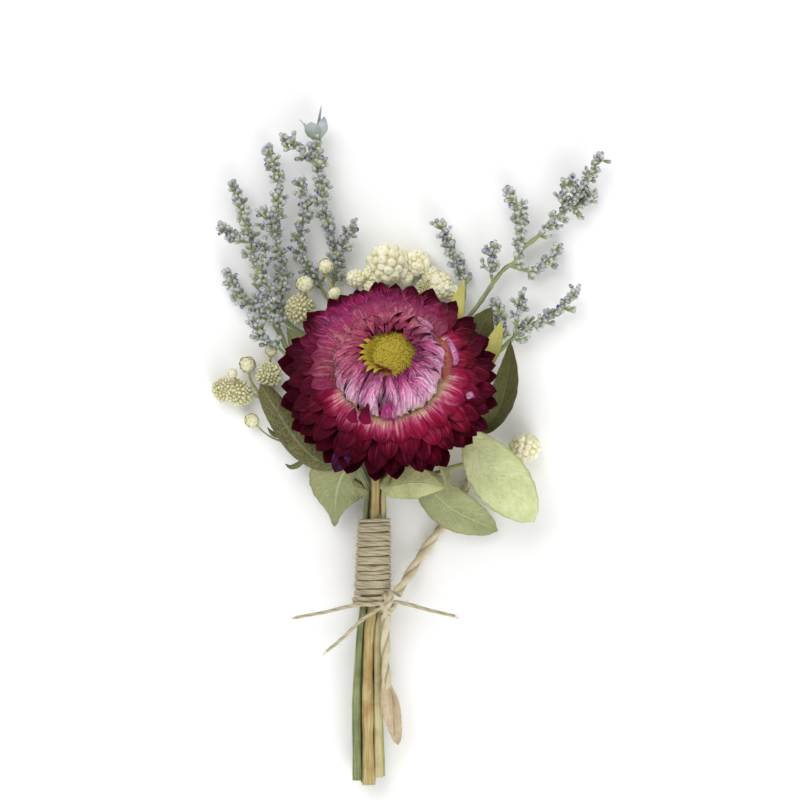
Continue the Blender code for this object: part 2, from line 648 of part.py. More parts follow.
def leaf_blade(name, leaf):
    """Return a leaf with a folded midrib, cupped sides and waved edges."""
    points = smooth_route(leaf.midrib, 3)
    rows = []
    for i in range(leaf.rows):
        share = i / leaf.rows
        place, ahead = along(points, share)
        side = ahead.cross(Vector((0, 0, 1))).normalized()
        up = side.cross(ahead)
        rise = min(share / leaf.widest, (1 - share) / (1 - leaf.widest))
        fullness = LEAF_FULLNESS / (leaf.blunt if share > leaf.widest else 1.0)
        half = leaf.half_width * (STALK_SHARE + (1 - STALK_SHARE) * math.sin(rise * math.pi / 2) ** fullness)
        fold = leaf.cup * half / leaf.half_width
        ripple = leaf.wave * math.sin(i * WAVE_STEP) * half / leaf.half_width
        rows.append([place - side * half + up * (fold + ripple), place,
                     place + side * half + up * (fold - ripple)])
    rows.append([points[-1]])
    return blade(name, rows)


def branching_piece(name, material, rng):
    """Build a stem with all its twigs, florets, heads and leaves as one node."""
    trunk = stem(name, rng)
    repeats = []
    for i, twig in enumerate(TWIGS.get(name, ())):
        repeats += twig_pieces(f"{name}_twig_{i}", twig)
    for i, head in enumerate(CREAM_HEADS.get(name, ())):
        repeats.append(cream_head(f"{name}_head_{i}", head))
    for i, leaf in enumerate(LEAVES.get(name, ())):
        repeats.append(leaf_blade(f"{name}_leaf_{i}", leaf))
    if repeats:
        fuse(trunk, repeats, "MANIFOLD" if name in LEAVES else "EXACT")
    return finish(trunk, material)


def sleeve(materials):
    """Build the wound twine: a tube whose outside follows one helical ridge."""
    sides, per_turn = 12, 3
    rows = SLEEVE_TURNS * per_turn
    top, foot = Vector(BUNDLE_AXIS[TIE_STATION + 1]), Vector(BUNDLE_AXIS[TIE_STATION])
    slope = (foot - top) / (foot.y - top.y)

    def ring_point(share, k, radius):
        centre = top + slope * (SLEEVE_TOP + (SLEEVE_FOOT - SLEEVE_TOP) * share - top.y)
        turn = 2 * math.pi * k / sides
        return centre + Vector((math.cos(turn), 0, math.sin(turn))) * radius

    points = []
    for i in range(rows + 1):
        share = i / rows
        crest = SLEEVE_RADII[0] + (SLEEVE_RADII[1] - SLEEVE_RADII[0]) * share
        for k in range(sides):
            wound = abs(math.sin(math.pi * (share * SLEEVE_TURNS - k / sides)))
            points.append(ring_point(share, k, crest - RIDGE * (1 - wound)))
    points += [ring_point(share, k, SLEEVE_BORE) for share in (0, 1) for k in range(sides)]

    last = rows * sides
    bore_top, bore_foot = last + sides, last + 2 * sides
    faces = []
    for k in range(sides):
        n = (k + 1) % sides
        for i in range(0, last, sides):
            faces += [(i + k, i + n, i + n + sides), (i + k, i + n + sides, i + k + sides)]
        faces.append((bore_top + n, bore_top + k, bore_foot + k, bore_foot + n))
        faces.append((k, bore_top + k, bore_top + n, n))
        faces.append((last + n, bore_foot + n, bore_foot + k, last + k))
    finish(face_outwards(mesh_object("twine_wrap", points, faces)), materials["jute"])


def tie(materials):
    """Build the two turns of the tie, its knot and its three thin tails."""
    centre = Vector(BUNDLE_AXIS[TIE_STATION])
    steps = TIE_TURNS * TIE_STEPS
    coil = []
    for i in range(steps + 1):
        turn = 2 * math.pi * TIE_TURNS * i / steps + math.radians(KNOT_TURN_DEG)
        along_axis = TIE_PITCH * TIE_TURNS * (0.5 - i / steps)
        coil.append(centre + Vector((TIE_RADIUS * math.cos(turn), along_axis, TIE_RADIUS * math.sin(turn))))
    band = tube("twine_tie", coil, (TIE_THICK, TIE_THICK), 5)
    knot = [(-4.9, -35.0, 7.0), (-4.5, -33.2, 7.7), (-4.2, -31.2, 7.4)]
    tails = [
        ((-4.6, -33.2, 8.2), (-8.0, -33.4, 9.6), (-12.4, -33.8, 8.2), (-18.0, -35.2, 6.6),
         (-24.6, -36.4, 5.4)),
        ((-4.6, -33.0, 7.8), (-1.4, -33.2, 7.2), (4.4, -34.8, 6.0), (10.2, -36.2, 5.2)),
        ((-4.8, -33.6, 8.2), (-8.4, -35.6, 9.4), (-11.0, -37.6, 8.9), (-14.4, -40.9, 7.6),
         (-17.8, -43.8, 6.2)),
    ]
    repeats = [tube("tie_knot_over", [Vector(p) for p in knot], (1.15, 1.15), 6)]
    repeats.append(ball("tie_knot_lump", knot[1], 1.5, 2))
    for i, tail in enumerate(tails):
        repeats.append(tube(f"tie_tail_{i}", smooth_route(tail, 2), (0.5, 0.38), 4))
    finish(fuse(band, repeats), materials["jute"])


def loose_cord(materials):
    """Build the free stretch of the thick cord as one open tube."""
    route = smooth_route(CORD_ROUTE, 1)
    path = bpy.data.curves.new("thick_cord_free", "CURVE")
    path.dimensions = "3D"
    path.bevel_depth = CORD_DIAMETER / 2 * MM
    path.bevel_resolution = 2
    path.use_fill_caps = True
    spline = path.splines.new("POLY")
    spline.points.add(len(route) - 1)
    for point, place in zip(spline.points, route):
        point.co = (*(place * MM), 1.0)
    cord = bpy.data.objects.new("thick_cord_free", path)
    bpy.context.scene.collection.objects.link(cord)
    cord.data.materials.append(materials["jute"])


def cord_end(materials):
    """Build the cord's lower run beside the stems, with its splayed and curled end."""
    run = smooth_route([(-4.9, -36.0, 7.4), (-5.0, -41.0, 7.2), (-5.0, -46.0, 7.2), (-4.6, -51.5, 7.0)], 2)
    body = tube("thick_cord_end", run, (1.1, 1.0), 8)
    splay = Leaf(((-4.7, -49.5, 7.1), (-4.0, -54.0, 7.2), (-3.0, -58.6, 6.8), (-2.4, -63.4, 7.6)),
                 1.9, 0.5, 0.5, 0.2, rows=6)
    finish(fuse(body, [leaf_blade("cord_splay", splay)]), materials["jute"])


def main():
    """Build every piece of the bouquet."""
    clear_scene()
    materials = make_materials()
    rng = random.Random(SEED)
    strawflower(materials)
    kinds = {"strawflower": "ochre_stem", "leaf": "sage_leaf", "sea": "sea_lavender", "cream": "cream_head"}
    for name in STEM_SLOTS:
        branching_piece(name, materials[kinds[name.split("_")[0]]], rng)
    sleeve(materials)
    tie(materials)
    loose_cord(materials)
    cord_end(materials)


main()
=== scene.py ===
"""The looks of a small dried flower bouquet that lies on its back.

A strawflower, leafy sprigs, sea lavender sprays and stalks of cream button heads are held by
wound twine and a tie. Lengths are millimetres unless a name says metres. Every finished mesh
is in metres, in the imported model's own frame: X to the right, Y from the cut stem ends to the
spray tips, Z up from the surface.
"""

import logging
import math
import random
from collections.abc import Callable, Iterable, Sequence
from dataclasses import dataclass, field, replace
from enum import Enum

import bpy
from mathutils import Matrix, Vector


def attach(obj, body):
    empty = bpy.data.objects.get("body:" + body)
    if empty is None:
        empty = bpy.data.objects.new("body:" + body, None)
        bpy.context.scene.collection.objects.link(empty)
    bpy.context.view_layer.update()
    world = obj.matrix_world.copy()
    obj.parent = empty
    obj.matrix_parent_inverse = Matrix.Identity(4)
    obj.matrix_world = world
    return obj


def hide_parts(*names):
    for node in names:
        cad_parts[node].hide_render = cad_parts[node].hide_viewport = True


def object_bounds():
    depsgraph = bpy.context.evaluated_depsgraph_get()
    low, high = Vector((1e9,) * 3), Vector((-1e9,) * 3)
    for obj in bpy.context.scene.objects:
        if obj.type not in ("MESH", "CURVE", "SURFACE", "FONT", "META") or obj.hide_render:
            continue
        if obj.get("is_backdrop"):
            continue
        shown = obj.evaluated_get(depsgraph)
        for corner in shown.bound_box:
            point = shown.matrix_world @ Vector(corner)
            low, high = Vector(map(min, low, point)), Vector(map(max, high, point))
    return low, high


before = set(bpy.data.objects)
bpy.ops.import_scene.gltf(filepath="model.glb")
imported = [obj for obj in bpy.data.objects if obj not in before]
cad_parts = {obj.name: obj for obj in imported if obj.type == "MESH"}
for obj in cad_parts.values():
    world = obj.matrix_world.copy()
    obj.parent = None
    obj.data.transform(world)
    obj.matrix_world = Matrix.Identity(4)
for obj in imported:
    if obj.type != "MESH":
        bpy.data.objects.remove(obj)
CAD_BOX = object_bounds()

LOG = logging.getLogger("bouquet")
MM = 0.001
SEED = 27
TURN = 2 * math.pi
GOLDEN_ANGLE = math.pi * (3.0 - math.sqrt(5.0))
SHARP_EDGE = math.radians(50)
UP = Vector((0, 0, 1))
TUBE_SPAN = 10.0
PLAIN_TINT = 0.5

Item = bpy.types.Object
Material = bpy.types.Material
Node = bpy.types.Node
Socket = bpy.types.NodeSocket
Value = float | Socket
Colour = tuple[float, float, float]
Place = tuple[float, float, float]
Route = tuple[Place, ...]
Profile = tuple[tuple[float, float], ...]
Stops = tuple[tuple[float, Colour], ...]


def smooth_route(route: Sequence[Place | Vector], per_span: int) -> list[Vector]:
    """Return points of a Catmull-Rom curve through a route.

    Args:
        route: The points that the curve passes through.
        per_span: How many steps each span is split into.

    Returns:
        The curve's points, from the first point of the route to the last.
    """
    fixed = [Vector(p) for p in route]
    ends = [2 * fixed[0] - fixed[1], *fixed, 2 * fixed[-1] - fixed[-2]]
    result = [fixed[0]]
    for i in range(1, len(ends) - 2):
        before, here, there, after = ends[i - 1:i + 3]
        for k in range(1, per_span + 1):
            t = k / per_span
            result.append(0.5 * (2 * here + (there - before) * t
                                 + (2 * before - 5 * here + 4 * there - after) * t ** 2
                                 + (3 * here - before - 3 * there + after) * t ** 3))
    return result


def lengths_along(points: Sequence[Vector]) -> list[float]:
    """Return the distance of each point of a polyline from its start."""
    total = [0.0]
    for a, b in zip(points, points[1:]):
        total.append(total[-1] + (b - a).length)
    return total


def along(points: Sequence[Vector], share: float) -> tuple[Vector, Vector]:
    """Return the place and direction at a share of a polyline's length."""
    at = lengths_along(points)
    left = share * at[-1]
    for i in range(len(points) - 1):
        if left <= at[i + 1]:
            step = (left - at[i]) / max(at[i + 1] - at[i], 1e-9)
            return points[i].lerp(points[i + 1], step), (points[i + 1] - points[i]).normalized()
    return points[-1].copy(), (points[-1] - points[-2]).normalized()


def stretch_of(points: Sequence[Vector], start: float, end: float, count: int) -> list[Vector]:
    """Return evenly spaced points between two shares of a polyline's length."""
    return [along(points, start + (end - start) * i / (count - 1))[0] for i in range(count)]


def new_object(name: str, data: bpy.types.ID) -> Item:
    """Return a new object in the scene."""
    made = bpy.data.objects.new(name, data)
    bpy.context.scene.collection.objects.link(made)
    return made


@dataclass
class Shape:
    """Points, faces and surface coordinates gathered for one mesh."""

    points: list[Vector] = field(default_factory=list)
    faces: list[tuple[int, ...]] = field(default_factory=list)
    uvs: list[tuple[float, float]] = field(default_factory=list)
    slots: list[int] = field(default_factory=list)
    tints: list[float] = field(default_factory=list)

    def face(self, corners: Sequence[int], uvs: Iterable[tuple[float, float]], slot: int) -> None:
        """Add one face with a surface coordinate for each corner."""
        self.faces.append(tuple(corners))
        self.uvs.extend(uvs)
        self.slots.append(slot)

    def sheet(self, rows: Sequence[Sequence[Vector]], thickness: float, slot: int = 0,
              tint: float = PLAIN_TINT) -> None:
        """Add a closed thin blade round a grid of points.

        Args:
            rows: The grid, from root to tip, each row from one edge to the other.
            thickness: How thick the blade is inside its edges.
            slot: Its material's number.
            tint: The value of its tint attribute.
        """
        count, wide = len(rows), len(rows[0])
        start = len(self.points)
        half = []
        for i, row in enumerate(rows):
            for k in range(wide):
                ahead = rows[min(i + 1, count - 1)][k] - rows[max(i - 1, 0)][k]
                across = row[min(k + 1, wide - 1)] - row[max(k - 1, 0)]
                edge = max(abs(2 * k / (wide - 1) - 1), i / (count - 1)) ** 4
                half.append(ahead.cross(across).normalized() * thickness / 2 * (1 - 0.8 * edge))
        flat = [p for row in rows for p in row]
        self.points += [p + n for p, n in zip(flat, half)] + [p - n for p, n in zip(flat, half)]
        self.tints += [tint] * (2 * len(flat))
        below = len(flat)

        def number(i: int, k: int) -> int:
            return start + i * wide + k

        def at(i: int, k: int) -> tuple[float, float]:
            return k / (wide - 1), i / (count - 1)

        for i in range(count - 1):
            for k in range(wide - 1):
                grid = [(i, k), (i + 1, k), (i + 1, k + 1), (i, k + 1)]
                self.face([number(*g) for g in grid], [at(*g) for g in grid], slot)
                self.face([number(*g) + below for g in grid[::-1]], [at(*g) for g in grid[::-1]], slot)
        rim = [(0, k) for k in range(wide)] + [(i, wide - 1) for i in range(1, count)]
        rim += [(count - 1, k) for k in range(wide - 2, -1, -1)] + [(i, 0) for i in range(count - 2, 0, -1)]
        for a, b in zip(rim, rim[1:] + rim[:1]):
            self.face([number(*a), number(*b), number(*b) + below, number(*a) + below],
                      [at(*a), at(*b), at(*b), at(*a)], slot)

    def rings(self, levels: Sequence[float], sides: int, slot: int = 0) -> None:
        """Close the last rings of points into a solid.

        Args:
            levels: The surface coordinate of each ring.
            sides: How many points a ring has.
            slot: The material's number.
        """
        start = len(self.points) - len(levels) * sides
        self.tints += [PLAIN_TINT] * (len(levels) * sides)
        for i, (low, high) in enumerate(zip(levels, levels[1:])):
            for k in range(sides):
                a, b = start + i * sides + k, start + i * sides + (k + 1) % sides
                left, right = k / sides, (k + 1) / sides
                self.face([a, b, b + sides, a + sides],
                          [(left, low), (right, low), (right, high), (left, high)], slot)
        last = start + (len(levels) - 1) * sides
        self.face([start + k for k in reversed(range(sides))], [(0.5, levels[0])] * sides, slot)
        self.face([last + k for k in range(sides)], [(0.5, levels[-1])] * sides, slot)

    def tube(self, points: Sequence[Vector], radius: Callable[[float], float], sides: int,
             slot: int = 0, flat: float = 1.0) -> None:
        """Add a closed tube round a polyline.

        Args:
            points: The line it follows.
            radius: Its radius at a share of its length.
            sides: How many sides it has.
            slot: Its material's number.
            flat: Its height over its width.
        """
        at = lengths_along(points)
        normal = None
        for i, place in enumerate(points):
            ahead = (points[min(i + 1, len(points) - 1)] - points[max(i - 1, 0)]).normalized()
            first = normal or (UP if abs(ahead.z) < 0.9 else Vector((1, 0, 0)))
            normal = (first - ahead * first.dot(ahead)).normalized()
            side = ahead.cross(normal)
            size = radius(at[i] / at[-1])
            for k in range(sides):
                turn = TURN * k / sides
                self.points.append(place + size * (flat * math.cos(turn) * normal + math.sin(turn) * side))
        self.rings([a / TUBE_SPAN for a in at], sides, slot)

    def turned(self, profile: Sequence[tuple[float, float, float]], sides: int,
               pleat: Callable[[int, int], float] = lambda row, column: 1.0) -> None:
        """Add the closed solid that a profile sweeps round Z.

        Args:
            profile: (radius, height, surface coordinate) from the foot to the closed top.
            sides: How many sides it has.
            pleat: What each radius is multiplied by, given its row and column.
        """
        for i, (radius, height, _) in enumerate(profile):
            for k in range(sides):
                turn = TURN * k / sides
                size = radius * pleat(i, k)
                self.points.append(Vector((size * math.cos(turn), size * math.sin(turn), height)))
        self.rings([level for _, _, level in profile], sides)

    def template(self, name: str, scale: float = MM) -> Item:
        """Return the shape as an object that a recipe repeats, without a tint of its own.

        Args:
            name: The object's name.
            scale: Metres to one unit of the points.

        Returns:
            The object, at the origin.
        """
        mesh = bpy.data.meshes.new(name)
        mesh.from_pydata([p * scale for p in self.points], [], self.faces)
        layer = mesh.uv_layers.new(name="UVMap")
        layer.data.foreach_set("uv", [c for uv in self.uvs for c in uv])
        mesh.polygons.foreach_set("material_index", self.slots)
        soften(mesh)
        return new_object(name, mesh)

    def build(self, name: str, *materials: Material) -> Item:
        """Return the shape as an object with its materials, in the order of the faces' slots."""
        made = self.template(name)
        tint = made.data.attributes.new("tint", "FLOAT", "POINT")
        tint.data.foreach_set("value", self.tints)
        for material in materials:
            made.data.materials.append(material)
        return made


def soften(mesh: bpy.types.Mesh) -> None:
    """Shade a mesh smooth, except at its sharp edges."""
    mesh.shade_smooth()
    mesh.set_sharp_from_angle(angle=SHARP_EDGE)


def line_object(name: str, lines: Sequence[Sequence[Vector]]) -> Item:
    """Return an object that holds polylines (mm) as edges."""
    points, edges = [], []
    for line in lines:
        start = len(points)
        points += [p * MM for p in line]
        edges += [(start + i, start + i + 1) for i in range(len(line) - 1)]
    mesh = bpy.data.meshes.new(name)
    mesh.from_pydata(points, edges, [])
    return new_object(name, mesh)


def join(pieces: Sequence[Item], name: str) -> Item:
    """Return one object made of several."""
    first = pieces[0]
    if len(pieces) > 1:
        with bpy.context.temp_override(active_object=first, selected_editable_objects=list(pieces)):
            bpy.ops.object.join()
    first.name = name
    first.data.name = name
    return first


def put_in_place(item: Item, place: Matrix) -> Item:
    """Write a turn and shift, whose shift is in millimetres, into an object's mesh."""
    moved = place.copy()
    moved.translation = moved.translation * MM
    item.data.transform(moved)
    return item


def remove(*items: Item) -> None:
    """Remove objects that were only a help."""
    for item in items:
        bpy.data.objects.remove(item, do_unlink=True)


def hand_over(item: Item, slot: str, *nodes: str) -> Item:
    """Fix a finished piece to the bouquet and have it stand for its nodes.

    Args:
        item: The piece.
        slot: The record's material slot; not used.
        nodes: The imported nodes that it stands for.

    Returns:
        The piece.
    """
    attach(item, "root")
    if nodes:
        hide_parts(*nodes)
    LOG.info("%s: %d faces", item.name, len(item.data.polygons))
    return item


class Graph:
    """Adds nodes to one node tree and links them."""

    def __init__(self, tree: bpy.types.NodeTree) -> None:
        """Keep the tree that nodes are added to."""
        self.tree = tree

    def feed(self, socket: Socket, value: object) -> None:
        """Link an output to an input, or set the input's own value."""
        if isinstance(value, Socket):
            self.tree.links.new(value, socket)
        else:
            socket.default_value = value

    def add(self, kind: str, inputs: dict | None = None, **settings) -> Node:
        """Add a node, set it, then set or link its inputs.

        Args:
            kind: The node's type.
            inputs: Values or output sockets by the name of the input.
            settings: The node's own properties.

        Returns:
            The node.
        """
        node = self.tree.nodes.new(kind)
        for key, value in settings.items():
            setattr(node, key, value)
        for key, value in (inputs or {}).items():
            self.feed(next(s for s in node.inputs if s.enabled and s.name == key), value)
        return node

    def out(self, kind: str, inputs: dict | None = None, **settings) -> Socket:
        """Add a node and return its first output that is in use."""
        return next(s for s in self.add(kind, inputs, **settings).outputs if s.enabled)

    def math(self, operation: str, *values: Value) -> Socket:
        """Return the result of a Math node."""
        node = self.add("ShaderNodeMath", operation=operation)
        for socket, value in zip(node.inputs, values):
            self.feed(socket, value)
        return node.outputs[0]

    def plus(self, a: Value, b: Value) -> Socket:
        """Return the sum of two values."""
        return self.math("ADD", a, b)

    def minus(self, a: Value, b: Value) -> Socket:
        """Return the difference of two values."""
        return self.math("SUBTRACT", a, b)

    def times(self, first: Value, *others: Value) -> Socket:
        """Return the product of values."""
        for other in others:
            first = self.math("MULTIPLY", first, other)
        return first

    def scaled(self, value: Value, by: Value, plus: Value) -> Socket:
        """Return a value times another, plus a third."""
        return self.math("MULTIPLY_ADD", value, by, plus)

    def vector(self, operation: str, a: Socket, b: Value | Place) -> Socket:
        """Return the result of a Vector Math node of two inputs, or of a vector and a scale."""
        node = self.add("ShaderNodeVectorMath", operation=operation)
        self.feed(node.inputs[0], a)
        self.feed(node.inputs["Scale"] if operation == "SCALE" else node.inputs[1], b)
        return node.outputs["Value" if operation in ("LENGTH", "DISTANCE", "DOT_PRODUCT") else "Vector"]

    def combine(self, x: Value, y: Value, z: Value) -> Socket:
        """Return a vector made of three values."""
        return self.out("ShaderNodeCombineXYZ", {"X": x, "Y": y, "Z": z})

    def parts(self, vector: Socket) -> Sequence[Socket]:
        """Return the three values of a vector."""
        return self.add("ShaderNodeSeparateXYZ", {"Vector": vector}).outputs

    def spread(self, value: Socket, low: Value, high: Value, to_low: float = 0.0,
               to_high: float = 1.0) -> Socket:
        """Return a value moved from one range to another, smoothly and clamped."""
        ends = {"From Min": low, "From Max": high, "To Min": to_low, "To Max": to_high}
        return self.out("ShaderNodeMapRange", {"Value": value, **ends}, interpolation_type="SMOOTHSTEP")

    def mix(self, share: Value, a: Socket | Colour, b: Socket | Colour) -> Socket:
        """Return a mix of two colours."""
        inputs = {"Factor": share}
        for key, value in (("A", a), ("B", b)):
            inputs[key] = value if isinstance(value, Socket) else (*value, 1.0)
        return self.out("ShaderNodeMix", inputs, data_type="RGBA")

    def ramp(self, value: Socket, stops: Stops) -> Socket:
        """Return the colour that a ramp gives for a value."""
        node = self.add("ShaderNodeValToRGB", {"Fac": value})
        band = node.color_ramp.elements
        for element, (position, colour) in ((band[0], stops[0]), (band[1], stops[-1])):
            element.position = position
            element.color = (*colour, 1.0)
        for position, colour in stops[1:-1]:
            band.new(position).color = (*colour, 1.0)
        return node.outputs["Color"]

    def uv(self) -> Sequence[Socket]:
        """Return the surface coordinates, first across a blade and then along it."""
        return self.parts(self.out("ShaderNodeUVMap", uv_map="UVMap"))

    def space(self) -> Socket:
        """Return the place in the object's own space."""
        return self.add("ShaderNodeTexCoord").outputs["Object"]

    def attribute(self, name: str, output: str = "Fac") -> Socket:
        """Return one of the mesh's own attributes."""
        return self.add("ShaderNodeAttribute", attribute_name=name).outputs[output]

    def group(self, tree: bpy.types.NodeTree, **values: Value) -> Sequence[Socket]:
        """Return the outputs of a shader group, given its inputs by their names in lower case."""
        inputs = {label.capitalize(): value for label, value in values.items()}
        return self.add("ShaderNodeGroup", inputs, node_tree=tree).outputs

    def mottle(self, scale: float, low: float = 0.35, high: float = 0.65) -> Socket:
        """Return a mask of soft blotches."""
        return self.group(GROUPS.mottle, scale=scale, low=low, high=high)[0]

    def streaks(self, across: float, along: float, shift: Socket, low: float, high: float) -> Socket:
        """Return a mask of lengthwise streaks."""
        return self.group(GROUPS.streaks, across=across, along=along, shift=shift, low=low, high=high)[0]


class SurfaceGroups:
    """Shader node groups that several finishes share, each built once."""

    def __init__(self) -> None:
        """Build the groups."""
        self.streaks = self._streaks()
        self.mottle = self._mottle()
        self.veins = self._veins()

    @staticmethod
    def _start(name: str, inputs: dict[str, float]) -> tuple[Graph, dict[str, Socket]]:
        """Start a group with float inputs, and return their sockets by name."""
        graph = Graph(bpy.data.node_groups.new(name, "ShaderNodeTree"))
        for label, value in inputs.items():
            socket = graph.tree.interface.new_socket(label, in_out="INPUT", socket_type="NodeSocketFloat")
            socket.default_value = value
        return graph, {s.name: s for s in graph.add("NodeGroupInput").outputs}

    @staticmethod
    def _end(graph: Graph, outputs: dict[str, Socket]) -> bpy.types.NodeTree:
        """End a group in named float outputs."""
        for label in outputs:
            graph.tree.interface.new_socket(label, in_out="OUTPUT", socket_type="NodeSocketFloat")
        graph.add("NodeGroupOutput", outputs)
        return graph.tree

    def _streaks(self) -> bpy.types.NodeTree:
        """Build lengthwise streaks on the surface coordinates."""
        graph, given = self._start("lengthwise_streaks", {"Across": 12.0, "Along": 1.2, "Shift": 0.0,
                                                          "Low": 0.4, "High": 0.6})
        uv = graph.uv()
        shift = graph.times(given["Shift"], 37.0)
        spot = graph.combine(graph.scaled(uv[0], given["Across"], shift),
                             graph.scaled(uv[1], given["Along"], shift), shift)
        noise = graph.out("ShaderNodeTexNoise",
                          {"Vector": spot, "Scale": 1.0, "Detail": 3.0, "Roughness": 0.55})
        return self._end(graph, {"Mask": graph.spread(noise, given["Low"], given["High"])})

    def _mottle(self) -> bpy.types.NodeTree:
        """Build soft blotches in the object's own space."""
        graph, given = self._start("soft_mottle", {"Scale": 300.0, "Low": 0.35, "High": 0.65})
        noise = graph.out("ShaderNodeTexNoise", {"Vector": graph.space(), "Scale": given["Scale"],
                                                 "Detail": 4.0, "Roughness": 0.6})
        return self._end(graph, {"Mask": graph.spread(noise, given["Low"], given["High"])})

    def _veins(self) -> bpy.types.NodeTree:
        """Build a midrib, slanted side veins and the fine net between them."""
        graph, given = self._start("leaf_veins", {"Pairs": 9.0, "Slant": 0.5, "Net": 16.0, "Shift": 0.0})
        uv = graph.uv()
        off = graph.math("ABSOLUTE", graph.minus(uv[0], 0.5))
        spot = graph.combine(uv[0], uv[1], given["Shift"])
        wobble = graph.out("ShaderNodeTexNoise", {"Vector": spot, "Scale": 7.0})
        bent = graph.scaled(wobble, 0.06, graph.times(off, given["Slant"]))
        phase = graph.math("FRACT", graph.times(graph.minus(uv[1], bent), given["Pairs"]))
        side = graph.spread(graph.math("ABSOLUTE", graph.minus(phase, 0.5)), 0.0, 0.09, 1.0, 0.0)
        rib = graph.spread(off, 0.006, 0.03, 1.0, 0.0)
        cells = graph.combine(graph.times(uv[0], given["Net"]), graph.times(uv[1], 2.2, given["Net"]),
                              given["Shift"])
        edge = graph.out("ShaderNodeTexVoronoi", {"Vector": cells, "Scale": 1.0}, feature="DISTANCE_TO_EDGE")
        return self._end(graph, {"Veins": graph.math("MAXIMUM", graph.times(side, 0.75), rib),
                                 "Net": graph.spread(edge, 0.0, 0.12, 1.0, 0.0)})


GROUPS = SurfaceGroups()


@dataclass(frozen=True)
class Finish:
    """What every finish has: its name, roughness, gloss and how deep its relief looks."""

    name: str
    roughness: float = 0.6
    relief: float = 0.3
    relief_depth: float = 0.0001
    specular: float = 0.4
    gloss: Colour = (1.0, 1.0, 1.0)

    def paint(self, graph: Graph) -> tuple[Socket, Socket | None]:
        """Return the colour and, where there is a relief, its height."""
        raise NotImplementedError

    def make(self) -> Material:
        """Return the material."""
        material = bpy.data.materials.new(self.name)
        material.use_nodes = True
        graph = Graph(material.node_tree)
        colour, height = self.paint(graph)
        wanted = {"Roughness": self.roughness, "Specular IOR Level": self.specular,
                  "Specular Tint": (*self.gloss, 1.0), "Base Color": colour}
        if height is not None:
            bump = {"Strength": self.relief, "Distance": self.relief_depth, "Height": height}
            wanted["Normal"] = graph.out("ShaderNodeBump", bump)
        shader = graph.tree.nodes["Principled BSDF"]
        for key, value in wanted.items():
            graph.feed(shader.inputs[key], value)
        return material


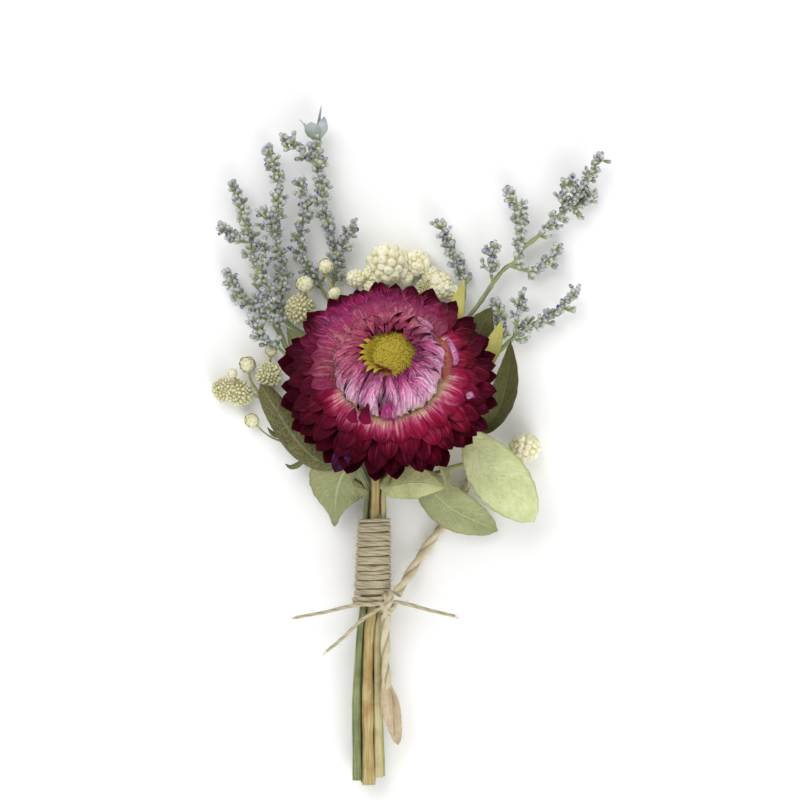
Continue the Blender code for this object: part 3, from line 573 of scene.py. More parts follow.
@dataclass(frozen=True)
class BractFinish(Finish):
    """A dry papery bract: colours from root to tip, with pale and dark streaks and a dark margin.

    A way is a direction across the head, and its reach the two places along it, in
    millimetres, between which the painted light (the sun) or the painted shade comes up. The
    heart's colours take over towards the middle of the head, or towards the painted light. The
    pale streaks are partly the bract's own and partly painted highlight and sheen.
    """

    rim: Stops = ()
    heart: Stops = ()
    heart_by_sun: bool = False
    flush: Colour = (0.42, 0.020, 0.15)
    flush_share: float = 0.5
    pale: Colour = (0.80, 0.30, 0.46)
    dark: Colour = (0.05, 0.001, 0.008)
    dark_across: float = 26.0
    dark_along: float = 1.6
    dark_from: float = 0.46
    pale_share: float = 0.6
    dark_share: float = 0.7
    # painted light: towards the sun a bract gets more pale streaks, or its heart's lighter colours, as if lit
    sun_way: Place = (-0.25, 0.97, 0.0)
    sun_reach: tuple[float, float] = (20.0, 33.0)
    sun_least: float = 0.25
    fray: float = 0.20
    margin_share: float = 0.0
    margin_reach: tuple[float, float] = (0.80, 0.95)
    tint_share: float = 0.16
    patchy: float = 0.0
    velvet: float = 0.0
    # painted shade: towards the shade's way a bract is darkened with the shade colour
    shade: Colour = (0.028, 0.0008, 0.005)
    shade_way: Place = (-0.75, -0.66, 0.0)
    shade_reach: tuple[float, float] = (-8.0, 8.0)
    shade_share: float = 0.55
    wrinkles: float = 1.5

    def paint(self, graph: Graph) -> tuple[Socket, Socket]:
        """Return the colour and the relief's height."""
        tint, bloom, reach = (graph.attribute(name) for name in ("tint", "bloom", "reach"))
        uv, space = graph.uv(), graph.space()
        wide = graph.streaks(5.0, 0.9, tint, 0.44, 0.58)
        fine = graph.streaks(17.0, 1.1, tint, 0.45, 0.60)
        thin = graph.streaks(self.dark_across, self.dark_along, tint, self.dark_from, self.dark_from + 0.12)
        cross = graph.streaks(3.0, self.wrinkles * 9.0, tint, 0.3, 0.7)
        # painted light: how far each place lies towards the lit side of the head
        sunward = graph.vector("DOT_PRODUCT", space, self.sun_way)
        sun = graph.spread(sunward, *(r * MM for r in self.sun_reach))
        ragged = graph.minus(graph.plus(fine, wide), 1.0)
        own = graph.scaled(graph.minus(tint, 0.5), self.tint_share, reach)
        own = graph.scaled(ragged, -self.fray / 2, own)
        own = graph.scaled(graph.mottle(125.0, 0.44, 0.56), self.patchy, own)
        # with heart_by_sun, the heart's lighter, more violet colours are painted light on the lit side
        inner = sun if self.heart_by_sun else bloom
        body = graph.mix(inner, graph.ramp(own, self.rim), graph.ramp(own, self.heart))
        outer = graph.spread(reach, 0.25, 0.80)
        flushed = graph.times(graph.spread(tint, 0.45, 0.85), outer, self.flush_share)
        body = graph.mix(flushed, body, self.flush)
        # pale streaks, partly the bract's own and partly painted highlight and sheen, strongest where lit
        bright = graph.scaled(sun, 1 - self.sun_least, self.sun_least)
        inward = graph.spread(uv[1], 0.70, 0.98, 1.0, 0.1)
        body = graph.mix(graph.times(wide, fine, bright, inward, self.pale_share), body, self.pale)
        body = graph.mix(graph.times(outer, self.dark_share, thin), body, self.dark)
        cloud = graph.times(graph.mottle(330.0, 0.42, 0.60), outer, self.velvet)
        body = graph.mix(cloud, body, graph.vector("MULTIPLY", body, (0.42, 0.36, 0.36)))
        # painted shade: darker towards the shade's way, more so away from the head's middle
        shadeward = graph.vector("DOT_PRODUCT", space, self.shade_way)
        low = graph.spread(shadeward, *(r * MM for r in self.shade_reach), 0.0, self.shade_share)
        body = graph.mix(graph.times(low, graph.spread(reach, 0.12, 0.60)), body, self.shade)
        off = graph.math("ABSOLUTE", graph.minus(uv[0], 0.5))
        margin = graph.math("MAXIMUM", graph.spread(off, 0.30, 0.49), graph.spread(uv[1], 0.86, 0.97))
        margin = graph.times(margin, graph.spread(reach, *self.margin_reach, 0.0, self.margin_share))
        return graph.mix(margin, body, self.dark), graph.scaled(cross, self.wrinkles, graph.plus(thin, fine))


@dataclass(frozen=True)
class DiscFinish(Finish):
    """Matte disc florets with a few maroon spots, each a place and a reach in millimetres."""

    top: Colour = (0.46, 0.36, 0.050)
    # painted shade: the colour of the florets' shaded sides, darker than their tops
    side: Colour = (0.32, 0.23, 0.026)
    deep: Colour = (0.38, 0.29, 0.02)
    brown: Colour = (0.15, 0.012, 0.022)
    spots: tuple[tuple[Place, float], ...] = ()

    def paint(self, graph: Graph) -> tuple[Socket, Socket]:
        """Return the colour and the relief's height."""
        # painted shade down the sides of the florets
        body = graph.mix(graph.spread(graph.uv()[1], 0.45, 0.95), self.side, self.top)
        body = graph.mix(graph.times(graph.attribute("tint"), 0.35), body, self.deep)
        space = graph.space()
        for place, reach in self.spots:
            far = graph.vector("DISTANCE", space, tuple(c * MM for c in place))
            body = graph.mix(graph.spread(far, reach * 0.4 * MM, reach * MM, 0.92, 0.0), body, self.brown)
        return body, graph.mottle(2600.0)


@dataclass(frozen=True)
class LeafFinish(Finish):
    """A dry leaf: tint 0 is pale sage and 1 dark olive, with veins, blotches and browned edges."""

    pale: Colour = (0.64, 0.69, 0.34)
    olive: Colour = (0.060, 0.055, 0.010)
    vein: Colour = (0.70, 0.72, 0.42)
    brown: Colour = (0.20, 0.13, 0.04)
    net_share: float = 0.18
    vein_share: float = 0.40

    def paint(self, graph: Graph) -> tuple[Socket, Socket]:
        """Return the colour and the relief's height."""
        tint = graph.attribute("tint")
        veins = graph.group(GROUPS.veins, pairs=9.0, slant=0.55, net=15.0, shift=tint)
        blotch = graph.mottle(190.0, 0.38, 0.66)
        body = graph.mix(tint, self.pale, self.olive)
        darker = graph.vector("MULTIPLY", body, (0.62, 0.66, 0.50))
        body = graph.mix(graph.times(blotch, graph.spread(tint, 0.4, 1.0, 0.55, 0.85)), body, darker)
        body = graph.mix(graph.times(graph.mottle(900.0, 0.50, 0.72), 0.22), body, self.brown)
        clear = graph.spread(tint, 0.5, 1.0, 1.0, 0.20)
        for label, share in (("Net", self.net_share), ("Veins", self.vein_share)):
            body = graph.mix(graph.times(clear, share, veins[label]), body, self.vein)
        off = graph.math("ABSOLUTE", graph.minus(graph.uv()[0], 0.5))
        body = graph.mix(graph.times(graph.spread(off, 0.44, 0.5), 0.45), body, self.brown)
        raised = graph.plus(veins["Veins"], graph.times(veins["Net"], 0.4))
        return body, graph.scaled(blotch, 0.6, raised)


@dataclass(frozen=True)
class StemFinish(Finish):
    """A dry fibrous stem with lengthwise streaks and darker blotches."""

    body: Colour = (0.40, 0.32, 0.14)
    streak: Colour = (0.60, 0.52, 0.30)
    shade: Colour = (0.12, 0.10, 0.04)

    def paint(self, graph: Graph) -> tuple[Socket, Socket]:
        """Return the colour and the relief's height."""
        lines = graph.streaks(16.0, 1.1, graph.attribute("tint"), 0.42, 0.62)
        colour = graph.mix(graph.times(lines, 0.6), self.body, self.streak)
        return graph.mix(graph.times(graph.mottle(260.0, 0.42, 0.70), 0.55), colour, self.shade), lines


@dataclass(frozen=True)
class RampFinish(Finish):
    """A small papery part coloured from its root to its tip, each a little different."""

    stops: Stops = ()
    tips: Stops = ()
    share: tuple[float, float] = (0.35, 0.65)

    def paint(self, graph: Graph) -> tuple[Socket, Socket]:
        """Return the colour and the relief's height."""
        length = graph.uv()[1]
        colour = graph.mix(graph.spread(graph.attribute("tint"), *self.share), graph.ramp(length, self.stops),
                           graph.ramp(length, self.tips))
        blotch = graph.mottle(900.0, 0.40, 0.75)
        darker = graph.vector("MULTIPLY", colour, (0.70, 0.66, 0.56))
        return graph.mix(graph.times(blotch, 0.5), colour, darker), blotch


@dataclass(frozen=True)
class JuteFinish(Finish):
    """Twisted jute: fibres that wind round each strand, with painted shade where two plies meet."""

    body: Colour = (0.66, 0.59, 0.39)
    light: Colour = (0.90, 0.84, 0.63)
    crease_shade: Colour = (0.30, 0.21, 0.12)
    crease_shade_share: float = 0.6
    fibres: float = 18.0
    skew: float = 9000.0

    def paint(self, graph: Graph) -> tuple[Socket, Socket]:
        """Return the colour and the relief's height."""
        ply = graph.parts(graph.attribute("ply", "Vector"))
        turn = graph.math("ARCTAN2", ply[1], ply[0])
        phase = graph.scaled(turn, self.fibres, graph.times(graph.attribute("run"), self.skew))
        fibre = graph.math("SINE", graph.scaled(graph.mottle(900.0, 0.2, 0.8), 5.0, phase))
        colour = graph.mix(graph.scaled(fibre, 0.22, 0.24), self.body, self.light)
        darker = graph.vector("MULTIPLY", colour, (0.66, 0.60, 0.50))
        colour = graph.mix(graph.times(graph.mottle(420.0, 0.35, 0.70), 0.35), colour, darker)
        # painted shade in the groove where the two plies meet
        meet = graph.spread(graph.math("ABSOLUTE", ply[1]), 0.84, 1.0, 0.0, self.crease_shade_share)
        return graph.mix(meet, colour, self.crease_shade), fibre


@dataclass(frozen=True)
class FloorFinish(Finish):
    """A plain pale studio floor."""

    body: Colour = (0.92, 0.92, 0.92)

    def paint(self, graph: Graph) -> tuple[tuple[float, ...], None]:
        """Return the colour, without a relief."""
        return (*self.body, 1.0), None


CREAM_ROOT = (0.72, 0.62, 0.27)

# Open bracts: painted light above, painted shade at the lower left, and pale streaks partly painted sheen.
OUTER_BRACT = BractFinish(
    "outer_bract", roughness=0.36, relief=0.8, specular=0.15, gloss=(1.0, 0.18, 0.32), wrinkles=0.5,
    rim=((0.0, CREAM_ROOT), (0.13, (0.86, 0.70, 0.38)), (0.23, (0.82, 0.44, 0.38)),
         (0.33, (0.56, 0.10, 0.21)), (0.45, (0.36, 0.014, 0.062)), (0.65, (0.25, 0.004, 0.029)),
         (0.82, (0.135, 0.0016, 0.012)), (1.0, (0.024, 0.0005, 0.0025))),
    heart=((0.0, CREAM_ROOT), (0.15, (0.62, 0.24, 0.24)), (0.30, (0.44, 0.060, 0.15)),
           (0.45, (0.40, 0.030, 0.14)), (0.65, (0.41, 0.022, 0.155)), (0.82, (0.36, 0.016, 0.110)),
           (0.94, (0.18, 0.004, 0.040)), (1.0, (0.03, 0.001, 0.005))),
    heart_by_sun=True, flush_share=0.15, margin_share=0.9, tint_share=0.07, patchy=0.12, velvet=0.75,
    pale=(0.76, 0.32, 0.56), pale_share=0.44, dark_share=0.85, shade_share=0.66,
)
# Dome bracts: pale streaks are mostly painted highlight, strongest lower right; the shade darkens the upper
# left.
INNER_BRACT = BractFinish(
    "inner_bract", roughness=0.22, relief=1.0, specular=0.6, gloss=(1.0, 0.84, 0.95), relief_depth=0.00018,
    rim=((0.0, CREAM_ROOT), (0.20, (0.92, 0.80, 0.50)), (0.32, (0.97, 0.66, 0.78)),
         (0.60, (0.98, 0.48, 0.76)), (0.82, (0.82, 0.20, 0.48)), (1.0, (0.46, 0.026, 0.19))),
    heart=((0.0, CREAM_ROOT), (0.30, (0.94, 0.52, 0.66)), (0.62, (0.90, 0.36, 0.54)),
           (0.82, (0.72, 0.14, 0.32)), (1.0, (0.40, 0.018, 0.11))),
    flush=(0.58, 0.06, 0.26), flush_share=0.2,
    pale=(1.0, 0.88, 0.97), dark=(0.40, 0.020, 0.20), dark_across=9.0, dark_along=4.0, dark_from=0.54,
    pale_share=1.0, dark_share=0.7, sun_way=(0.6, -0.8, 0.0), sun_reach=(-24.0, -10.0), sun_least=0.6,
    margin_share=0.35, margin_reach=(0.10, 0.50),
    shade=(0.68, 0.095, 0.16), shade_way=(-0.45, 0.9, 0.0), shade_reach=(15.0, 24.0), shade_share=0.8,
)
VIOLET_BRACT = replace(OUTER_BRACT, name="violet_bract", flush_share=0.0, shade_share=0.0, sun_least=1.0,
                       margin_share=0.5, pale=(0.26, 0.13, 0.30), velvet=0.0, gloss=(1.0, 0.8, 1.0),
                       rim=((0.0, (0.07, 0.015, 0.08)), (0.8, (0.06, 0.009, 0.075)),
                            (1.0, (0.02, 0.003, 0.03))),
                       heart=((0.0, (0.09, 0.02, 0.11)), (1.0, (0.03, 0.004, 0.04))))
# painted highlight: pale pink bracts set where a curled edge catches the light
HIGHLIGHT_BRACT = replace(INNER_BRACT, name="painted_highlight_bract", shade_share=0.0, sun_least=0.8, flush_share=0.1,
                     margin_share=0.0, pale_share=0.6,
                     rim=((0.0, CREAM_ROOT), (0.3, (0.86, 0.42, 0.58)), (0.7, (0.78, 0.26, 0.52)),
                          (1.0, (0.56, 0.07, 0.28))),
                     heart=((0.0, CREAM_ROOT), (0.6, (0.74, 0.66, 0.40)), (1.0, (0.70, 0.28, 0.40))))
ROSE_BRACT = replace(HIGHLIGHT_BRACT, name="rose_bract", roughness=0.4, specular=0.3, pale=(0.86, 0.54, 0.50),
                     pale_share=0.40, dark_share=0.6, dark_from=0.52,
                     rim=((0.0, CREAM_ROOT), (0.20, (0.62, 0.24, 0.24)), (0.42, (0.46, 0.066, 0.15)),
                          (0.75, (0.38, 0.026, 0.12)), (1.0, (0.31, 0.017, 0.10))))
WEDGE_BRACT = replace(OUTER_BRACT, name="wedge_bract", shade_share=0.0, pale_share=0.2, fray=0.0,
                      margin_share=0.3, rim=((0.0, (0.24, 0.006, 0.045)), (1.0, (0.20, 0.004, 0.05))),
                      heart=((0.0, (0.24, 0.006, 0.045)), (1.0, (0.20, 0.004, 0.05))))
WINE_BRACT = replace(ROSE_BRACT, name="wine_bract", pale_share=0.25,
                     rim=((0.0, (0.40, 0.12, 0.13)), (0.5, (0.31, 0.032, 0.080)),
                          (1.0, (0.22, 0.012, 0.048))))
RUSTY_BRACT = replace(ROSE_BRACT, name="rusty_bract", pale_share=0.2,
                      rim=((0.0, (0.52, 0.22, 0.06)), (0.6, (0.50, 0.14, 0.05)), (1.0, (0.42, 0.06, 0.07))),
                      heart=((0.0, CREAM_ROOT), (1.0, (0.40, 0.12, 0.06))))
BACK_BRACT = BractFinish(
    "back_bract", roughness=0.5, relief=0.3, specular=0.2,
    rim=((0.0, (0.34, 0.22, 0.08)), (0.5, (0.46, 0.24, 0.12)), (0.8, (0.34, 0.05, 0.08)),
         (1.0, (0.10, 0.008, 0.02))),
    heart=((0.0, CREAM_ROOT), (0.6, (0.50, 0.34, 0.16)), (1.0, (0.22, 0.06, 0.04))),
    flush_share=0.2, pale=(0.62, 0.44, 0.28), shade_share=0.3,
)
# painted light: the core seen in the gaps between dome bracts is bright magenta, for light bounced into them
DOME_CORE = RampFinish("dome_core", roughness=0.7,
                       stops=((0.0, (0.78, 0.10, 0.34)), (1.0, (0.62, 0.05, 0.22))),
                       tips=((0.0, (0.78, 0.10, 0.34)), (1.0, (0.62, 0.05, 0.22))))
DISC = DiscFinish("disc_floret", roughness=0.95, relief=0.4, specular=0.05,
                  spots=(((-6.6, 17.0, 31.2), 0.9), ((-5.8, 16.5, 31.3), 1.0), ((-4.9, 16.2, 31.3), 1.0),
                         ((-4.0, 15.9, 31.2), 0.8), ((-3.6, 23.4, 31.5), 0.5)))
LEAF = LeafFinish("dry_leaf", roughness=0.62, pale=(0.67, 0.72, 0.39), relief=0.55, relief_depth=0.00025,
                  specular=0.12)
NETTED_LEAF = replace(LEAF, name="netted_leaf", pale=(0.54, 0.57, 0.26), olive=(0.066, 0.056, 0.013),
                      vein=(0.74, 0.74, 0.52), net_share=0.36, vein_share=0.40)
YELLOWED_LEAF = replace(LEAF, name="yellowed_leaf", pale=(0.66, 0.60, 0.18), vein=(0.74, 0.70, 0.34))
TWIG = StemFinish("grey_green_twig", roughness=0.8, specular=0.15, body=(0.24, 0.29, 0.13),
                  streak=(0.44, 0.48, 0.30), shade=(0.11, 0.12, 0.05))
GREEN_STEM = StemFinish("green_stem", roughness=0.7, specular=0.2, body=(0.17, 0.21, 0.085),
                        streak=(0.36, 0.39, 0.20), shade=(0.09, 0.10, 0.04))
OLIVE_STEM = StemFinish("olive_stem", roughness=0.7, specular=0.2, body=(0.30, 0.31, 0.12),
                        streak=(0.52, 0.50, 0.26), shade=(0.14, 0.12, 0.05))
OCHRE_STEM = StemFinish("ochre_stem", roughness=0.7, specular=0.12, body=(0.38, 0.28, 0.11),
                        streak=(0.58, 0.53, 0.28), shade=(0.30, 0.13, 0.035))
TAN_STEM = StemFinish("tan_stem", roughness=0.7, specular=0.2, body=(0.46, 0.40, 0.20),
                      streak=(0.66, 0.62, 0.38), shade=(0.26, 0.22, 0.10))
CALYX = RampFinish(
    "calyx", roughness=0.85, relief=0.2, specular=0.1,
    stops=((0.0, (0.17, 0.21, 0.08)), (0.34, (0.28, 0.33, 0.16)), (0.62, (0.40, 0.44, 0.32)),
           (0.88, (0.60, 0.62, 0.65)), (1.0, (0.36, 0.37, 0.43))),
    tips=((0.0, (0.14, 0.17, 0.06)), (0.50, (0.24, 0.28, 0.13)), (0.76, (0.34, 0.37, 0.37)),
          (0.88, (0.38, 0.36, 0.52)), (0.95, (0.13, 0.10, 0.24)), (1.0, (0.06, 0.045, 0.11))),
    share=(0.45, 0.95),
)
POD = RampFinish(
    "papery_pod", roughness=0.7, relief=0.3, specular=0.15,
    stops=((0.0, (0.24, 0.29, 0.14)), (0.35, (0.38, 0.44, 0.36)), (0.75, (0.50, 0.54, 0.58)),
           (1.0, (0.30, 0.32, 0.37))),
    tips=((0.0, (0.24, 0.29, 0.14)), (1.0, (0.40, 0.44, 0.48))),
)
CREAM = RampFinish(
    "cream_bud", roughness=0.85, relief=0.25, specular=0.08,
    stops=((0.0, (0.66, 0.60, 0.32)), (0.40, (0.80, 0.76, 0.50)), (1.0, (0.92, 0.90, 0.70))),
    tips=((0.0, (0.56, 0.50, 0.25)), (0.45, (0.72, 0.67, 0.40)), (1.0, (0.86, 0.83, 0.60))),
)
CREAM_TUFT = replace(
    CREAM, name="cream_tuft",
    stops=((0.0, (0.48, 0.44, 0.22)), (0.40, (0.64, 0.62, 0.38)), (1.0, (0.78, 0.77, 0.56))),
    tips=((0.0, (0.40, 0.37, 0.18)), (0.45, (0.56, 0.53, 0.30)), (1.0, (0.72, 0.71, 0.48))),
)
FLAP = StemFinish("tan_flap", roughness=0.8, specular=0.1, body=(0.54, 0.43, 0.29), streak=(0.72, 0.64, 0.46),
                  shade=(0.36, 0.26, 0.17))
JUTE = JuteFinish("jute", roughness=0.9, relief=0.7, relief_depth=0.00010, specular=0.1)
# painted shade: a dark jute for the layer under the wound twine, standing for the shade between its turns
CORE_SHADE_JUTE = replace(JUTE, name="core_shade_jute", body=(0.24, 0.17, 0.09), light=(0.34, 0.25, 0.14))
TONGUE_BRACT = replace(INNER_BRACT, name="tongue_bract", pale_share=0.4, shade_share=0.0,
                       rim=((0.0, (0.56, 0.07, 0.32)), (1.0, (0.36, 0.01, 0.15))))
FIBRE = RampFinish("jute_fibre", roughness=0.9, stops=((0.0, (0.62, 0.50, 0.33)), (1.0, (0.80, 0.70, 0.52))),
                   tips=((0.0, (0.50, 0.39, 0.24)), (1.0, (0.72, 0.60, 0.42))))


class Recipe:
    """A geometry node tree with named inputs, which ends in plain faces with a material."""

    def __init__(self, name: str, **labels: str) -> None:
        """Start a tree.

        Args:
            name: The tree's name.
            labels: The labels of its inputs, with commas between, by the type of their sockets.
        """
        self.tree = bpy.data.node_groups.new(name, "GeometryNodeTree")
        face = self.tree.interface
        for kind, names in {"Geometry": "Geometry", **labels, "Material": "Material"}.items():
            for label in names.split(", "):
                face.new_socket(label, in_out="INPUT", socket_type="NodeSocket" + kind)
        face.new_socket("Geometry", in_out="OUTPUT", socket_type="NodeSocketGeometry")
        self.graph = Graph(self.tree)
        self.given = {s.name: s for s in self.graph.add("NodeGroupInput").outputs}

    def index(self) -> Socket:
        """Return each item's number."""
        return self.graph.out("GeometryNodeInputIndex")

    def draw(self, low: Value, high: Value, shift: float) -> Socket:
        """Return a random value for each item, drawn from the seed plus a shift."""
        inputs = {"Min": low, "Max": high, "Seed": self.graph.plus(self.given["Seed"], shift)}
        return self.graph.out("FunctionNodeRandomValue", inputs, data_type="FLOAT")

    def play(self, label: str, shift: float) -> Socket:
        """Return a random value for each item, between an input's value and its opposite."""
        given = self.given[label + " play"]
        return self.draw(self.graph.times(given, -1.0), given, shift)

    def swayed(self, label: str, shift: float) -> Socket:
        """Return an input's value, which each item changes by up to the input's play."""
        return self.graph.scaled(self.draw(-1.0, 1.0, shift), self.given[label + " play"], self.given[label])

    def size(self, shift: float) -> Socket:
        """Return a random size for each item, from small to large."""
        return self.draw(self.given["Small"], self.given["Large"], shift)

    def polar(self, radius: Socket, turn: Socket, height: Socket) -> Socket:
        """Return a place round the Z axis."""
        graph = self.graph
        return graph.combine(graph.times(radius, graph.math("COSINE", turn)),
                             graph.times(radius, graph.math("SINE", turn)), height)

    def rotation(self, x: Value, y: Value, z: Value) -> Socket:
        """Return a rotation round the three axes."""
        return self.graph.out("FunctionNodeEulerToRotation", {"Euler": self.graph.combine(x, y, z)})

    def turned(self, rotation: Socket, axis: Place, angle: Socket) -> Socket:
        """Return a rotation that turns on round one of its own axes."""
        by = self.graph.out("FunctionNodeAxisAngleToRotation", {"Axis": axis, "Angle": angle})
        return self.graph.out("FunctionNodeRotateRotation", {"Rotation": rotation, "Rotate By": by},
                              rotation_space="LOCAL")

    def aimed(self, heading: Socket, spin: Socket) -> Socket:
        """Return a rotation that points Z along a heading, spins round it and leans away from it."""
        aim = self.graph.out("FunctionNodeAlignRotationToVector", {"Vector": heading}, axis="Z")
        return self.turned(self.turned(aim, (0, 0, 1), spin), (1, 0, 0), self.swayed("Lean", 1.0))

    def line(self) -> Socket:
        """Return as many points as the count says."""
        return self.graph.out("GeometryNodeMeshLine", {"Count": self.given["Count"], "Offset": (0, 0, 0)})

    def curve(self) -> Socket:
        """Return the given edges as curves of even steps."""
        curve = self.graph.out("GeometryNodeMeshToCurve", {"Mesh": self.given["Geometry"]})
        return self.graph.out("GeometryNodeResampleCurve", {"Curve": curve, "Length": self.given["Step"]},
                              mode="LENGTH")

    def read(self, label: str, kind: str = "FLOAT") -> Socket:
        """Return an attribute of the mesh."""
        return self.graph.out("GeometryNodeInputNamedAttribute", {"Name": label}, data_type=kind)

    def store(self, geometry: Socket, label: str, value: Socket, kind: str = "FLOAT",
              domain: str = "POINT") -> Socket:
        """Return the geometry with an attribute."""
        inputs = {"Geometry": geometry, "Name": label, "Value": value}
        return self.graph.out("GeometryNodeStoreNamedAttribute", inputs, data_type=kind, domain=domain)

    def part(self, label: str) -> Socket:
        """Return the mesh of an object that was given."""
        return self.graph.add("GeometryNodeObjectInfo", {"Object": self.given[label]}).outputs["Geometry"]

    def moved(self, geometry: Socket, **where: Socket) -> Socket:
        """Return geometry with its points at a position, or shifted by an offset."""
        inputs = {label.capitalize(): value for label, value in where.items()}
        return self.graph.out("GeometryNodeSetPosition", {"Geometry": geometry, **inputs})

    def copies(self, points: Socket, part: Socket, rotation: Socket, size: Socket) -> Socket:
        """Return a copy of a part at each point."""
        return self.graph.out("GeometryNodeInstanceOnPoints", {"Points": points, "Instance": part,
                                                               "Rotation": rotation, "Scale": size})

    def tinted(self, instances: Socket) -> Socket:
        """Give each instance a random tint of its own."""
        return self.store(instances, "tint", self.draw(0.0, 1.0, 11.0), domain="INSTANCE")

    def realize(self, geometry: Socket) -> Socket:
        """Return instances as real faces."""
        return self.graph.out("GeometryNodeRealizeInstances", {"Geometry": geometry})

    def lifted(self, geometry: Socket) -> Socket:
        """Return real faces, with no point below the surface that the bouquet lies on."""
        graph = self.graph
        spot = graph.parts(graph.out("GeometryNodeInputPosition"))
        height = graph.math("MAXIMUM", spot[2], 0.0)
        return self.moved(self.realize(geometry), position=graph.combine(spot[0], spot[1], height))

    def end(self, geometry: Socket) -> "Recipe":
        """End the tree in real faces with the material that was given."""
        made = self.graph.out("GeometryNodeSetMaterial", {"Geometry": self.realize(geometry),
                                                          "Material": self.given["Material"]})
        self.graph.add("NodeGroupOutput", {"Geometry": made})
        return self

    def run(self, name: str, base: Item, **values: object) -> Item:
        """Run the tree on an object and keep the result as a plain mesh.

        Args:
            name: The new object's name.
            base: The object that the tree starts from, which is removed.
            values: The tree's inputs, with underscores for spaces.

        Returns:
            The new object.
        """
        modifier = base.modifiers.new("recipe", "NODES")
        modifier.node_group = self.tree
        wanted = {key.replace("_", " ").capitalize(): value for key, value in values.items()}
        for item in self.tree.interface.items_tree:
            if item.in_out == "INPUT" and item.name in wanted:
                modifier[item.identifier] = wanted.pop(item.name)
        if wanted:
            raise ValueError(f"{self.tree.name} has no input {sorted(wanted)}")
        bpy.context.view_layer.update()
        solid = base.evaluated_get(bpy.context.evaluated_depsgraph_get())
        mesh = bpy.data.meshes.new_from_object(solid)
        base.modifiers.remove(modifier)
        remove(base)
        mesh.name = name
        soften(mesh)
        return new_object(name, mesh)


